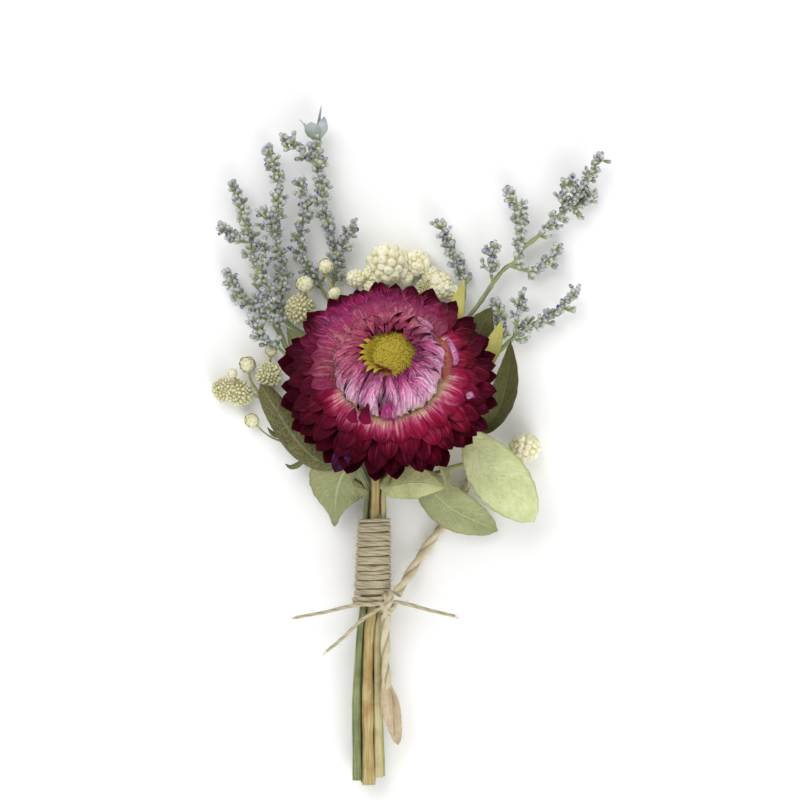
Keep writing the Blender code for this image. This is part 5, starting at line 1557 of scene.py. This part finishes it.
CREAM_HEADS = {
    "cream_stalk_top": (
        Head((-4.4, 39.1, 4.3), 4.6, Kind.CLUSTER), Head((1.9, 39.3, 3.0), 3.0, Kind.CLUSTER),
        Head((6.6, 34.4, 3.0), 2.9, Kind.CLUSTER), Head((-11.4, 35.9, 4.6), 2.1, Kind.CLUSTER),
        Head((-8.1, 34.0, 5.7), 1.7, Kind.SCALY), Head((-15.7, 32.4, 6.1), 1.6, Kind.SCALY),
        Head((-17.7, 38.4, 6.6), 1.7, Kind.SCALY), Head((-22.3, 34.7, 4.8), 1.9, Kind.SCALY),
        Head((-23.2, 29.4, 3.4), 3.3, Kind.FLUFFY), Head((-0.9, 36.2, 3.4), 2.0, Kind.CLUSTER),
        Head((4.5, 36.9, 2.7), 2.1, Kind.CLUSTER), Head((9.4, 32.9, 2.6), 1.9, Kind.CLUSTER),
        Head((-8.2, 37.1, 4.2), 1.7, Kind.CLUSTER), Head((3.4, 34.0, 3.2), 2.0, Kind.FLUFFY),
    ),
    "cream_stalk_left": (
        Head((-36.2, 11.5, 2.7), 2.9, Kind.FLUFFY), Head((-39.5, 12.2, 2.7), 2.7, Kind.FLUFFY),
        Head((-29.9, 15.3, 2.9), 2.9, Kind.FLUFFY), Head((-34.5, 17.6, 2.6), 1.7, Kind.SCALY),
        Head((-37.6, 15.6, 5.6), 1.0, Kind.SCALY), Head((-29.5, 20.6, 2.2), 1.3, Kind.SCALY),
        Head((-33.6, 5.6, 2.0), 1.5, Kind.SCALY),
    ),
    "cream_stalk_right": (Head((24.8, -0.1, 3.1), 3.3, Kind.CLUSTER),),
}
LEAVES = {
    "leaf_sprig_left": (
        Leaf(((-12.2, -0.4, 6.3), (-17.2, -3.4, 7.2), (-22.2, -0.4, 7.8), (-27.2, 6.4, 8.2),
              (-31.6, 13.4, 7.6)), 7.0, 0.55, wave=0.35, blunt=2.6, roll=2.3, tint=0.90, look=Blade.NETTED),
        Leaf(((-10.6, -4.6, 6.3), (-13.6, -5.2, 6.0), (-15.4, -9.6, 5.0), (-15.9, -17.0, 3.6)),
             6.6, 0.34, 1.1, 0.5, blunt=0.55, tint=0.59),
        Leaf(((-17.4, 12.6, 6.0), (-20.6, 17.6, 6.6), (-23.4, 21.8, 7.0), (-26.0, 25.4, 7.0)),
             2.9, 0.55, 0.6, 0.3, tint=0.75),
        Leaf(((-25.6, 2.6, 7.0), (-27.8, 2.4, 6.4), (-29.2, 3.0, 6.0), (-30.2, 4.2, 5.8)),
             0.75, 0.5, 0.3, 0.2, roll=1.4, tint=0.9),
        Leaf(((-21.8, -2.4, 6.6), (-23.6, -3.8, 6.0), (-25.2, -4.3, 5.6), (-26.4, -3.6, 5.4)),
             0.85, 0.5, 0.3, 0.2, roll=1.4, tint=0.85),
    ),
    "leaf_sprig_right": (
        Leaf(((8.6, 2.5, 8.6), (13.2, 1.2, 10.2), (18.0, -4.4, 11.0), (22.8, -10.4, 10.4),
              (26.6, -15.9, 9.0)), 6.0, 0.56, 1.0, 0.35, 1.6, tint=0.0, skew=0.5),
        Leaf(((-0.4, -1.5, 6.5), (3.6, -7.4, 7.2), (9.0, -13.0, 6.2), (19.0, -18.0, 2.6)),
             4.4, 0.55, 0.8, 0.5, 1.6, tint=0.48),
        Leaf(((-3.4, -5.2, 6.3), (-4.2, -8.4, 8.6), (1.4, -7.6, 10.2), (7.6, -8.6, 9.6)),
             3.4, 0.6, -1.2, 0.5, tint=0.0, look=Blade.NETTED),
        Leaf(((6.6, -2.0, 8.2), (7.4, -4.6, 10.0), (8.0, -7.0, 10.8), (8.3, -9.6, 10.9)),
             0.9, 0.4, 0.8, 0.2, tint=0.15),
    ),
    "leaf_sprig_upper_right": (
        Leaf(((9.4, 7.9, 4.8), (15.4, 4.4, 6.6), (19.2, 8.6, 8.0), (21.0, 15.6, 8.8), (21.6, 22.6, 9.0)),
             2.7, 0.6, 1.8, 0.2, tint=0.92),
        Leaf(((12.6, 15.0, 5.5), (14.0, 21.0, 5.8), (15.4, 25.6, 6.2), (17.6, 29.8, 6.6)),
             3.3, 0.6, 0.6, 0.4, tint=0.94),
        Leaf(((13.0, 16.0, 5.6), (16.4, 18.4, 7.2), (18.2, 22.4, 7.8), (19.8, 27.0, 8.0)),
             1.9, 0.5, 0.5, 0.2, tint=0.15, look=Blade.YELLOWED),
        Leaf(((12.8, 15.4, 5.5), (10.4, 23.0, 5.4), (10.2, 29.4, 5.6), (11.8, 35.6, 6.0)),
             1.7, 0.65, 0.4, 0.2, tint=0.0, look=Blade.YELLOWED),
    ),
}


class Bundle:
    """The stems' places in the bundle, and the routes that they take out of it."""

    ring_radius = 2.1
    spread_below_tie = 1.22
    stations_below_tie = 2
    longest_trim = 2.4

    def __init__(self) -> None:
        """Choose where each stem is cut."""
        rng = random.Random(SEED)
        self.trims = {name: 0.0 if name == "strawflower_stem" else rng.uniform(0.0, self.longest_trim)
                      for name in STEM_SLOTS}

    def offset(self, name: str) -> tuple[float, float]:
        """Return a stem's (x, z) offset from the bundle's axis."""
        slot = STEM_SLOTS[name]
        if isinstance(slot, tuple):
            return slot
        turn = math.radians(slot)
        return self.ring_radius * math.sin(turn), self.ring_radius * math.cos(turn)

    def route(self, name: str) -> list[Vector]:
        """Return a stem's whole route, from its cut end."""
        across, up = self.offset(name)
        points = []
        for i, (x, y, z) in enumerate(BUNDLE_AXIS):
            spread = self.spread_below_tie if i < self.stations_below_tie else 1.0
            trim = self.trims[name] if i == 0 else 0.0
            points.append(Vector((x + across * spread, y + trim, z + up * spread)))
        return smooth_route([*points, *STEM_ROUTES[name]], 5)

    def stem(self, shape: Shape, name: str, radii: tuple[float, float], slot: int = 0) -> None:
        """Add a slightly uneven stem to a shape."""
        phase = random.Random(name).uniform(0, 6.3)

        def radius(share: float) -> float:
            even = radii[0] + (radii[1] - radii[0]) * min(1, share / 0.5)
            return even * (1 + 0.08 * math.sin(31 * share + phase) + 0.04 * math.sin(83 * share))

        shape.tube(self.route(name), radius, 14, slot, flat=0.9)


@dataclass(frozen=True)
class LavenderSpray:
    """A sea lavender spray: its stem, twigs, short side spikelets and florets."""

    node: str
    bundle: Bundle
    recipes: Recipes
    spikelet_step: float = 0.95
    pod_lobes: tuple[Ring, ...] = (
        Ring(5, 3.6, ((0.3, -0.4), (1.7, 1.0), (2.5, 2.4), (2.4, 3.9)), 0.7, root=0.25, widest=0.6),
        Ring(1, 1.6, ((0.8, 0.6), (1.9, 2.2), (2.9, 3.8), (3.7, 5.0)), 0.5, turn=0.02, root=0.5, widest=0.4,
             blunt=1.2),
        Ring(1, 1.6, ((0.4, 0.6), (1.1, 2.6), (1.3, 4.4), (1.9, 6.1)), 0.5, turn=0.46, root=0.5, widest=0.4,
             blunt=1.2),
    )

    def spikelets(self, line: Sequence[Vector], bare: float, rng: random.Random) -> list[list[Vector]]:
        """Return short side branches that spiral round a twig out to its tip."""
        count = max(2, round(lengths_along(line)[-1] * (1 - bare) / self.spikelet_step))
        result = []
        for k in range(count):
            share = bare + (1 - bare) * (k + rng.uniform(0.1, 0.6)) / count
            place, ahead = along(line, min(share, 0.97))
            turn = k * GOLDEN_ANGLE + rng.uniform(-0.5, 0.5)
            across = ahead.cross(UP).normalized()
            out = across * math.cos(turn) + ahead.cross(across) * math.sin(turn)
            reach = rng.uniform(1.2, 2.1) * (1.15 - 0.35 * share)
            end = place + (ahead * 0.95 + out).normalized() * reach
            end.z = max(end.z, 1.1)
            bend = (place + end) / 2 + out * 0.12 * reach
            bend.z = max(bend.z, 0.8)
            result.append([place, bend, end])
        return result

    def build(self, floret: Item) -> Item:
        """Build the spray as one plain mesh, from the floret that the recipe repeats."""
        rng = random.Random(self.node)
        wood = Shape()
        self.bundle.stem(wood, self.node, (0.82, 0.50))
        lines, sides, ends = [], [], []
        for twig in LAVENDER_TWIGS[self.node]:
            line = smooth_route(twig.route, 8)
            low, high = twig.radii
            phase = rng.uniform(0, 6.3)
            wood.tube(line, lambda share: (low + (high - low) * share)
                      * (1 + 0.16 * math.sin(61 * share + phase)), 8)
            lines.append(stretch_of(line, twig.bare, 1.0, 24))
            ends.append((*along(line, 0.97), twig.pod))
            for side in self.spikelets(line, twig.bare, rng):
                wood.tube(side, lambda share: 0.20 - 0.06 * share, 5)
                sides.append(stretch_of(side, 0.25, 1.0, 5))
        crowns = [[place, place + ahead * 0.9] for place, ahead, _ in ends]
        calyx = CALYX.make()
        parts = [wood.build("wood", TWIG.make())]
        for i, (name, where, play) in enumerate((
                ("florets", lines, dict(step=0.00038, lean=0.50, lean_play=0.25, small=0.7, large=1.25)),
                ("side_florets", sides, dict(step=0.00038, lean=0.42, lean_play=0.30, small=0.6, large=1.15)),
                ("crown_florets", crowns, dict(step=0.0003, lean=0.3, lean_play=0.2, small=0.9, large=1.2)))):
            parts.append(self.recipes.sprig.run(name, line_object(name + "_lines", where), floret=floret,
                                                seed=7 + i, material=calyx, **play))
        parts += [self.pod(place, ahead) for place, ahead, bears in ends if bears]
        return join(parts, self.node.replace("sea_lavender", "lavender_spray"))

    def pod(self, place: Vector, ahead: Vector) -> Item:
        """Return the large papery pod of pointed lobes at a twig's tip."""
        material = POD.make()
        made = [self.recipes.ring.run(f"pod_lobes_{i}", ring.bract(9, 10).template("pod_lobe"),
                                      count=ring.count, turn=ring.turn, tilt_play=0.12, size_play=0.12,
                                      crinkle=0.0016, seed=31 + i, material=material)
                for i, ring in enumerate(self.pod_lobes)]
        aim = ahead.to_track_quat("Z", "Y").to_matrix().to_4x4()
        return put_in_place(join(made, "papery_pod"), Matrix.Translation(place) @ aim)


@dataclass(frozen=True)
class CreamStalk:
    """A stalk of cream heads."""

    node: str
    bundle: Bundle
    recipes: Recipes

    @staticmethod
    def centres(heads: Sequence[Head]) -> Item:
        """Return a mesh with one point for each head, which carries its radius."""
        mesh = bpy.data.meshes.new("head_centres")
        mesh.from_pydata([Vector(h.centre) * MM for h in heads], [], [])
        radius = mesh.attributes.new("radius", "FLOAT", "POINT")
        radius.data.foreach_set("value", [h.radius * MM for h in heads])
        return new_object("head_centres", mesh)

    def build(self, scales: dict[Kind, Item]) -> Item:
        """Build the stalk with its heads as one plain mesh, from each kind's own scale or bud."""
        wood = Shape()
        self.bundle.stem(wood, self.node, (0.80, 0.42))
        for twig in CREAM_TWIGS[self.node]:
            low, high = twig.radii
            wood.tube(smooth_route(twig.route, 6), lambda share: low + (high - low) * share, 7)
        parts = [wood.build("wood", OLIVE_STEM.make())]
        finishes = {kind: (CREAM_TUFT if kind is Kind.FLUFFY else CREAM).make() for kind in Kind}
        play = {
            Kind.CLUSTER: dict(count=46, tilt=0.0, tilt_play=0.6, small=0.7, large=1.3, sink=0.3, core=0.8),
            Kind.SCALY: dict(count=46, tilt=-1.38, tilt_play=0.08, small=0.9, large=1.12, sink=0.06,
                             core=0.9),
            Kind.FLUFFY: dict(count=130, tilt=0.0, tilt_play=0.6, small=0.7, large=1.2, sink=0.26, core=0.8),
        }
        for i, kind in enumerate(Kind):
            heads = [h for h in CREAM_HEADS[self.node] if h.kind is kind]
            if heads:
                parts.append(self.recipes.head.run(f"heads_{i}", self.centres(heads), scale=scales[kind],
                                                   seed=40 + i, material=finishes[kind], **play[kind]))
        return join(parts, self.node.replace("cream_stalk", "button_stalk"))


@dataclass(frozen=True)
class LeafSprig:
    """A leafy sprig."""

    node: str
    bundle: Bundle
    wood: StemFinish

    def build(self) -> Item:
        """Build the sprig as one plain mesh."""
        shape = Shape()
        self.bundle.stem(shape, self.node, (1.05, 0.50), slot=1)
        for i, leaf in enumerate(LEAVES[self.node]):
            leaf.blade(shape, 70 + i)
        return shape.build(self.node.replace("leaf_sprig", "leafy_sprig"), LEAF.make(), self.wood.make(),
                           NETTED_LEAF.make(), YELLOWED_LEAF.make())


@dataclass(frozen=True)
class Strand:
    """A twisted strand of two plies: its radius, how deep its waist is and its twist."""

    radius: float
    waist: float = 0.28
    turn_length: float = 3.2
    taper: float = 0.0
    sides: int = 16
    step: float = 0.22

    def run(self, name: str, lines: Sequence[Sequence[Vector]], recipes: Recipes, material: Material) -> Item:
        """Return the strand laid along lines."""
        return recipes.strand.run(name, line_object(name + "_lines", lines), step=self.step * MM,
                                  thick=self.radius * MM, waist=self.waist,
                                  twist=TURN / (self.turn_length * MM), taper=self.taper,
                                  sides=self.sides, material=material)


@dataclass(frozen=True)
class LooseCord:
    """The thick two-ply cord that runs free from the knot to under the leaves."""

    recipes: Recipes
    route: Route = (
        (-2.6, -31.3, 6.4), (-1.3, -29.4, 5.2), (0.4, -26.8, 3.2), (2.5, -23.4, 1.8), (4.9, -20.0, 1.4),
        (7.5, -16.3, 1.3), (9.8, -12.9, 1.3), (11.8, -9.5, 1.3), (13.4, -6.0, 1.3), (14.5, -2.4, 1.3),
    )
    diameter: float = 2.4
    strand: Strand = Strand(1.12, waist=0.30, turn_length=13.0, step=0.2, sides=24)

    def build(self) -> Item:
        """Build the cord and measure its length, which is not kept."""
        line = smooth_route(self.route, 5)
        made = self.strand.run("loose_thick_cord", [line], self.recipes, JUTE.make())
        hand_over(made, "jute", "thick_cord_free")
        lengths_along(line)[-1] * MM
        return made


@dataclass(frozen=True)
class Twine:
    """All the fine and thick jute that binds the stems, except the loose cord."""

    recipes: Recipes
    jute: Material = field(default_factory=JUTE.make)
    wrap_top: float = -15.7
    wrap_foot: float = -31.7
    wrap_radii: tuple[float, float] = (3.14, 3.62)
    wrap_turns: int = 25
    slit: float = -25.4
    core_radii: tuple[float, float] = (2.98, 3.46)
    tie_radius: float = 3.9
    tie_turns: int = 2
    tie_pitch: float = 1.05
    knot: tuple[Route, ...] = (
        ((-5.9, -34.6, 7.1), (-5.2, -34.4, 8.3), (-4.3, -33.3, 8.9), (-3.9, -31.9, 8.4), (-4.1, -31.0, 7.3)),
        ((-6.6, -32.8, 7.7), (-5.6, -33.9, 8.5), (-4.3, -34.6, 8.3), (-3.4, -34.1, 7.6), (-3.2, -33.0, 7.2)),
        ((-5.4, -31.6, 7.4), (-4.7, -32.6, 8.2), (-4.8, -34.0, 8.3), (-5.0, -35.4, 7.9), (-5.0, -36.4, 7.4)),
    )
    tails: tuple[Route, ...] = (
        ((-4.6, -33.2, 8.2), (-8.0, -33.4, 9.6), (-12.4, -33.8, 8.2), (-18.0, -35.2, 6.6),
         (-24.2, -36.4, 5.4)),
        ((-4.6, -33.0, 7.8), (-1.4, -33.2, 7.2), (4.4, -34.8, 6.0), (9.8, -36.1, 5.2)),
        ((-4.8, -33.6, 8.2), (-8.4, -35.6, 9.4), (-11.0, -37.6, 8.9), (-14.4, -40.9, 7.6),
         (-17.5, -43.5, 6.3)),
    )
    cord_run: Route = ((-4.9, -35.8, 7.4), (-5.0, -41.0, 7.2), (-5.0, -46.0, 7.2), (-4.6, -51.5, 7.0))
    flaps: tuple[Leaf, ...] = (
        Leaf(((-4.7, -49.0, 7.1), (-4.0, -54.0, 7.2), (-3.2, -58.6, 6.8), (-2.3, -63.4, 8.0)),
             1.9, 0.45, 0.7, 0.5, blunt=2.0),
        Leaf(((-5.2, -47.0, 6.9), (-4.9, -52.0, 7.7), (-4.5, -57.0, 7.3), (-3.4, -61.4, 7.9)),
             1.2, 0.5, 0.6, 0.4, blunt=1.6),
    )

    @staticmethod
    def axis_at(y: float) -> Vector:
        """Return the bundle's centre at a place along it."""
        foot, top = Vector(BUNDLE_AXIS[3]), Vector(BUNDLE_AXIS[4])
        return foot.lerp(top, (y - foot.y) / (top.y - foot.y))

    def wrap_at(self, share: float) -> float:
        """Return the place along the bundle at a share of the wound stretch."""
        return self.wrap_top + (self.wrap_foot - self.wrap_top) * share

    def wrap(self) -> Item:
        """Build the wound twine over a close inner layer, coloured dark as painted shade between the turns.
        """
        rng = random.Random(5)
        steps = self.wrap_turns * 36
        line = []
        for i in range(steps + 1):
            share = i / steps
            turn = TURN * self.wrap_turns * share
            wander = 0.16 * math.sin(turn * 0.37 + 1.0) + 0.10 * math.sin(turn * 1.13)
            y = self.wrap_at(share) + wander
            front = (turn % TURN - math.pi / 2) / 0.36
            parted = 0.42 * math.exp(-front ** 2) * math.exp(-abs(y - self.slit) / 0.8)
            centre = self.axis_at(y + math.copysign(parted, y - self.slit))
            radius = self.wrap_radii[0] + (self.wrap_radii[1] - self.wrap_radii[0]) * share
            radius += 0.06 * math.sin(turn * 0.61) + 0.03 * math.sin(turn * 2.3) + rng.uniform(-0.015, 0.015)
            line.append(centre + Vector((math.cos(turn), 0, math.sin(turn))) * radius)
        # the inner layer, dark as painted shade between the turns
        core = Shape()
        low, high = self.core_radii
        middle = [self.axis_at(self.wrap_at(i / 12)) for i in range(13)]
        core.tube(middle, lambda share: low + (high - low) * share, 24)
        strand = Strand(0.37, waist=0.05, turn_length=9.0, sides=10)
        coil = strand.run("wrap_coil", [line], self.recipes, self.jute)
        return join([coil, core.build("wrap_core", CORE_SHADE_JUTE.make())], "wound_twine")

    def tie(self) -> Item:
        """Build the tie's two turns, its knot and its tails."""
        centre = Vector(BUNDLE_AXIS[3])
        steps = self.tie_turns * 40
        coil = []
        for i in range(steps + 1):
            turn = TURN * self.tie_turns * i / steps + math.radians(40)
            shift = self.tie_pitch * self.tie_turns * (0.5 - i / steps) + 0.1 * math.sin(3 * turn)
            away = Vector((self.tie_radius * math.cos(turn), shift, self.tie_radius * math.sin(turn)))
            coil.append(centre + away)
        knot = [smooth_route(route, 6) for route in self.knot]
        tails = [smooth_route(route, 6) for route in self.tails]
        parts = [strand.run(name, lines, self.recipes, self.jute) for name, lines, strand in (
            ("tie_coil", [coil], Strand(0.52, waist=0.08, turn_length=7.0)),
            ("tie_knot", knot, Strand(0.72, waist=0.12, turn_length=6.0)),
            ("tie_tails", tails, Strand(0.46, waist=0.10, turn_length=6.0, taper=0.25)))]
        frayed = Shape()
        rng = random.Random(9)
        for tail in tails:
            ahead = (tail[-1] - tail[-4]).normalized()
            for _ in range(6):
                side = Vector([rng.uniform(-0.5, 0.5) for _ in range(3)])
                reach = rng.uniform(0.7, 1.6)
                start = tail[-1] - ahead * 0.4 + side * 0.3
                points = [start, start + ahead * reach * 0.6 + side * 0.25,
                          start + ahead * reach + side * 0.8]
                frayed.tube(smooth_route(points, 3), lambda share: 0.10 - 0.07 * share, 5)
        return join([*parts, frayed.build("frayed_ends", self.jute)], "knotted_tie")

    def cord_end(self) -> Item:
        """Build the thick cord's lower run with its papery, curled end."""
        run = smooth_route(self.cord_run, 6)
        strand = Strand(1.1, waist=0.3, turn_length=13.0, sides=24, taper=0.1)
        papery = Shape()
        for i, flap in enumerate(self.flaps):
            flap.blade(papery, 33 + i)
        return join([strand.run("cord_run", [run], self.recipes, self.jute),
                     papery.build("cord_flaps", FLAP.make())], "thick_cord_lower_run")

    def fuzz(self, bases: Sequence[Item]) -> Item:
        """Build loose fibres that stand off the jute of other pieces."""
        fibre = Shape()
        fibre.tube(smooth_route([(0, 0, -0.05), (0.05, 0, 0.35), (0.22, 0, 0.75), (0.55, 0.1, 1.0)], 2),
                   lambda share: 0.026 - 0.016 * share, 3)
        template = fibre.template("loose_fibre")
        parts = [self.recipes.fuzz.run(f"fuzz_{i}", new_object("fuzz_base", base.data.copy()), fibre=template,
                                       density=0.55e6, lean=1.05, lean_play=0.35, small=0.5, large=1.5,
                                       seed=80 + i, material=FIBRE.make())
                 for i, base in enumerate(bases)]
        remove(template)
        return join(parts, "loose_jute_fibres")


def floret_template() -> Item:
    """Return one papery calyx: a pleated funnel that stands on its root along Z."""
    shape = Shape()
    profile = [(0.14, -0.05, 0.0), (0.28, 0.42, 0.25), (0.41, 0.92, 0.55), (0.45, 1.32, 0.8),
               (0.34, 1.64, 0.93), (0.12, 1.56, 1.0)]
    shape.turned(profile, 8, pleat=lambda row, k: (1.15 if k % 2 else 0.85) if row in (2, 3, 4) else 1.0)
    return shape.template("calyx_floret")


def head_templates() -> dict[Kind, Item]:
    """Return the bud or scale of each kind of cream head, sized for a head of radius one."""
    bud = Shape()
    bud.turned([(0.10, -0.14, 0.1), (0.22, -0.02, 0.5), (0.25, 0.12, 0.8), (0.20, 0.23, 1.0),
                (0.11, 0.27, 1.0), (0.04, 0.24, 0.6)], 10,
               pleat=lambda row, k: 1.06 if k % 2 and row in (1, 2, 3) else 0.96)
    scale = Ring(1, 0.60, ((-0.16, -0.02), (0.10, 0.02), (0.36, -0.04), (0.60, -0.17)), -0.05, root=0.7)
    shape = scale.bract(5, 6, 0.02)
    shape.points = [Vector((p.y, -p.z, p.x)) for p in shape.points]
    tuft = Shape()
    tuft.turned([(0.05, -0.10, 0.1), (0.10, 0.04, 0.4), (0.12, 0.17, 0.8), (0.07, 0.28, 1.0),
                 (0.02, 0.29, 0.8)], 6)
    return {Kind.CLUSTER: bud.template("cluster_bud", 1.0), Kind.SCALY: shape.template("bud_scale", 1.0),
            Kind.FLUFFY: tuft.template("tuft", 1.0)}


@dataclass(frozen=True)
class Studio:
    """A plain pale studio with soft light and a camera that looks straight down, in metres."""

    middle: tuple[float, float] = (-0.0019, 0.0100)
    rim_height: float = 0.0185
    distance: float = 1.0
    frame_width: float = 0.1684
    sensor: float = 36.0
    floor_side: float = 6.0
    floor_drop: float = 0.0002
    sky: float = 0.66
    lamps: tuple[tuple[Place, float, float], ...] = (
        ((-0.40, 0.60, 0.85), 0.9, 6.2),
        ((0.30, -0.80, 0.9), 0.9, 3.6),
        ((0.42, -0.88, 0.44), 0.6, 3.8),
    )

    def camera(self) -> None:
        """Set the camera as in the photo."""
        lens = bpy.data.cameras.new("photo_camera")
        lens.sensor_width = self.sensor
        lens.lens = self.sensor * self.distance / self.frame_width
        lens.clip_start = 0.05
        lens.clip_end = 20.0
        camera = new_object("photo_camera", lens)
        camera.location = (*self.middle, self.rim_height + self.distance)
        bpy.context.scene.camera = camera

    def floor(self) -> None:
        """Lay the floor under the bouquet."""
        half = self.floor_side / 2
        mesh = bpy.data.meshes.new("studio_floor")
        corners = ((-half, -half), (half, -half), (half, half), (-half, half))
        mesh.from_pydata([(x, y, -self.floor_drop) for x, y in corners], [], [(0, 1, 2, 3)])
        mesh.materials.append(FloorFinish("pale_floor", roughness=0.9, specular=0.1).make())
        new_object("studio_floor", mesh)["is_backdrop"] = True

    def light(self) -> None:
        """Light the bouquet softly from all sides and a little more from the upper left."""
        world = bpy.data.worlds.new("studio_sky")
        world.use_nodes = True
        sky = world.node_tree.nodes["Background"]
        sky.inputs["Color"].default_value = (1.0, 1.0, 1.0, 1.0)
        sky.inputs["Strength"].default_value = self.sky
        bpy.context.scene.world = world
        for i, (place, side, power) in enumerate(self.lamps):
            lamp = bpy.data.lights.new(f"softbox_{i}", "AREA")
            lamp.shape = "SQUARE"
            lamp.size = side
            lamp.energy = power
            made = new_object(f"softbox_{i}", lamp)
            made.location = place
            made.rotation_euler = Vector(place).to_track_quat("Z", "Y").to_euler()
            made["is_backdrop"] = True


def write_sizes(**boxes: tuple[Vector, Vector]) -> None:
    """Turn the lowest and highest corners of boxes into plain lists, which are not kept."""
    {name: [list(corner) for corner in corners] for name, corners in boxes.items()}


def main() -> None:
    """Build the bouquet's looks, piece by piece."""
    logging.basicConfig(level=logging.INFO, format="%(message)s")
    bpy.context.scene.view_settings.view_transform = "Standard"
    studio = Studio()
    studio.camera()
    studio.floor()
    studio.light()
    recipes = Recipes()
    cord = LooseCord(recipes).build()

    head = Strawflower(recipes)
    hand_over(head.outer_bracts(), "crimson_bract", "strawflower_outer_bracts")
    hand_over(head.inner_bracts(), "pink_bract", "strawflower_inner_bracts")
    hand_over(head.disc(), "disc_yellow", "strawflower_disc")

    bundle = Bundle()
    stem = Shape()
    bundle.stem(stem, "strawflower_stem", (1.35, 0.95))
    hand_over(stem.build("strawflower_stalk", OCHRE_STEM.make()), "ochre_stem", "strawflower_stem")
    for node, wood in zip(LEAVES, (GREEN_STEM, TAN_STEM, OLIVE_STEM)):
        hand_over(LeafSprig(node, bundle, wood).build(), "sage_leaf", node)
    floret = floret_template()
    for node in LAVENDER_TWIGS:
        hand_over(LavenderSpray(node, bundle, recipes).build(floret), "sea_lavender", node)
    scales = head_templates()
    for node in CREAM_HEADS:
        hand_over(CreamStalk(node, bundle, recipes).build(scales), "cream_head", node)
    remove(floret, *scales.values())

    twine = Twine(recipes)
    wound = hand_over(twine.wrap(), "jute", "twine_wrap")
    knotted = hand_over(twine.tie(), "jute", "twine_tie")
    lower = hand_over(twine.cord_end(), "jute", "thick_cord_end")
    hand_over(twine.fuzz([wound, knotted, lower, cord]), "jute")
    write_sizes(cad=CAD_BOX, visual=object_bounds())


if __name__ == "__main__":
    main()
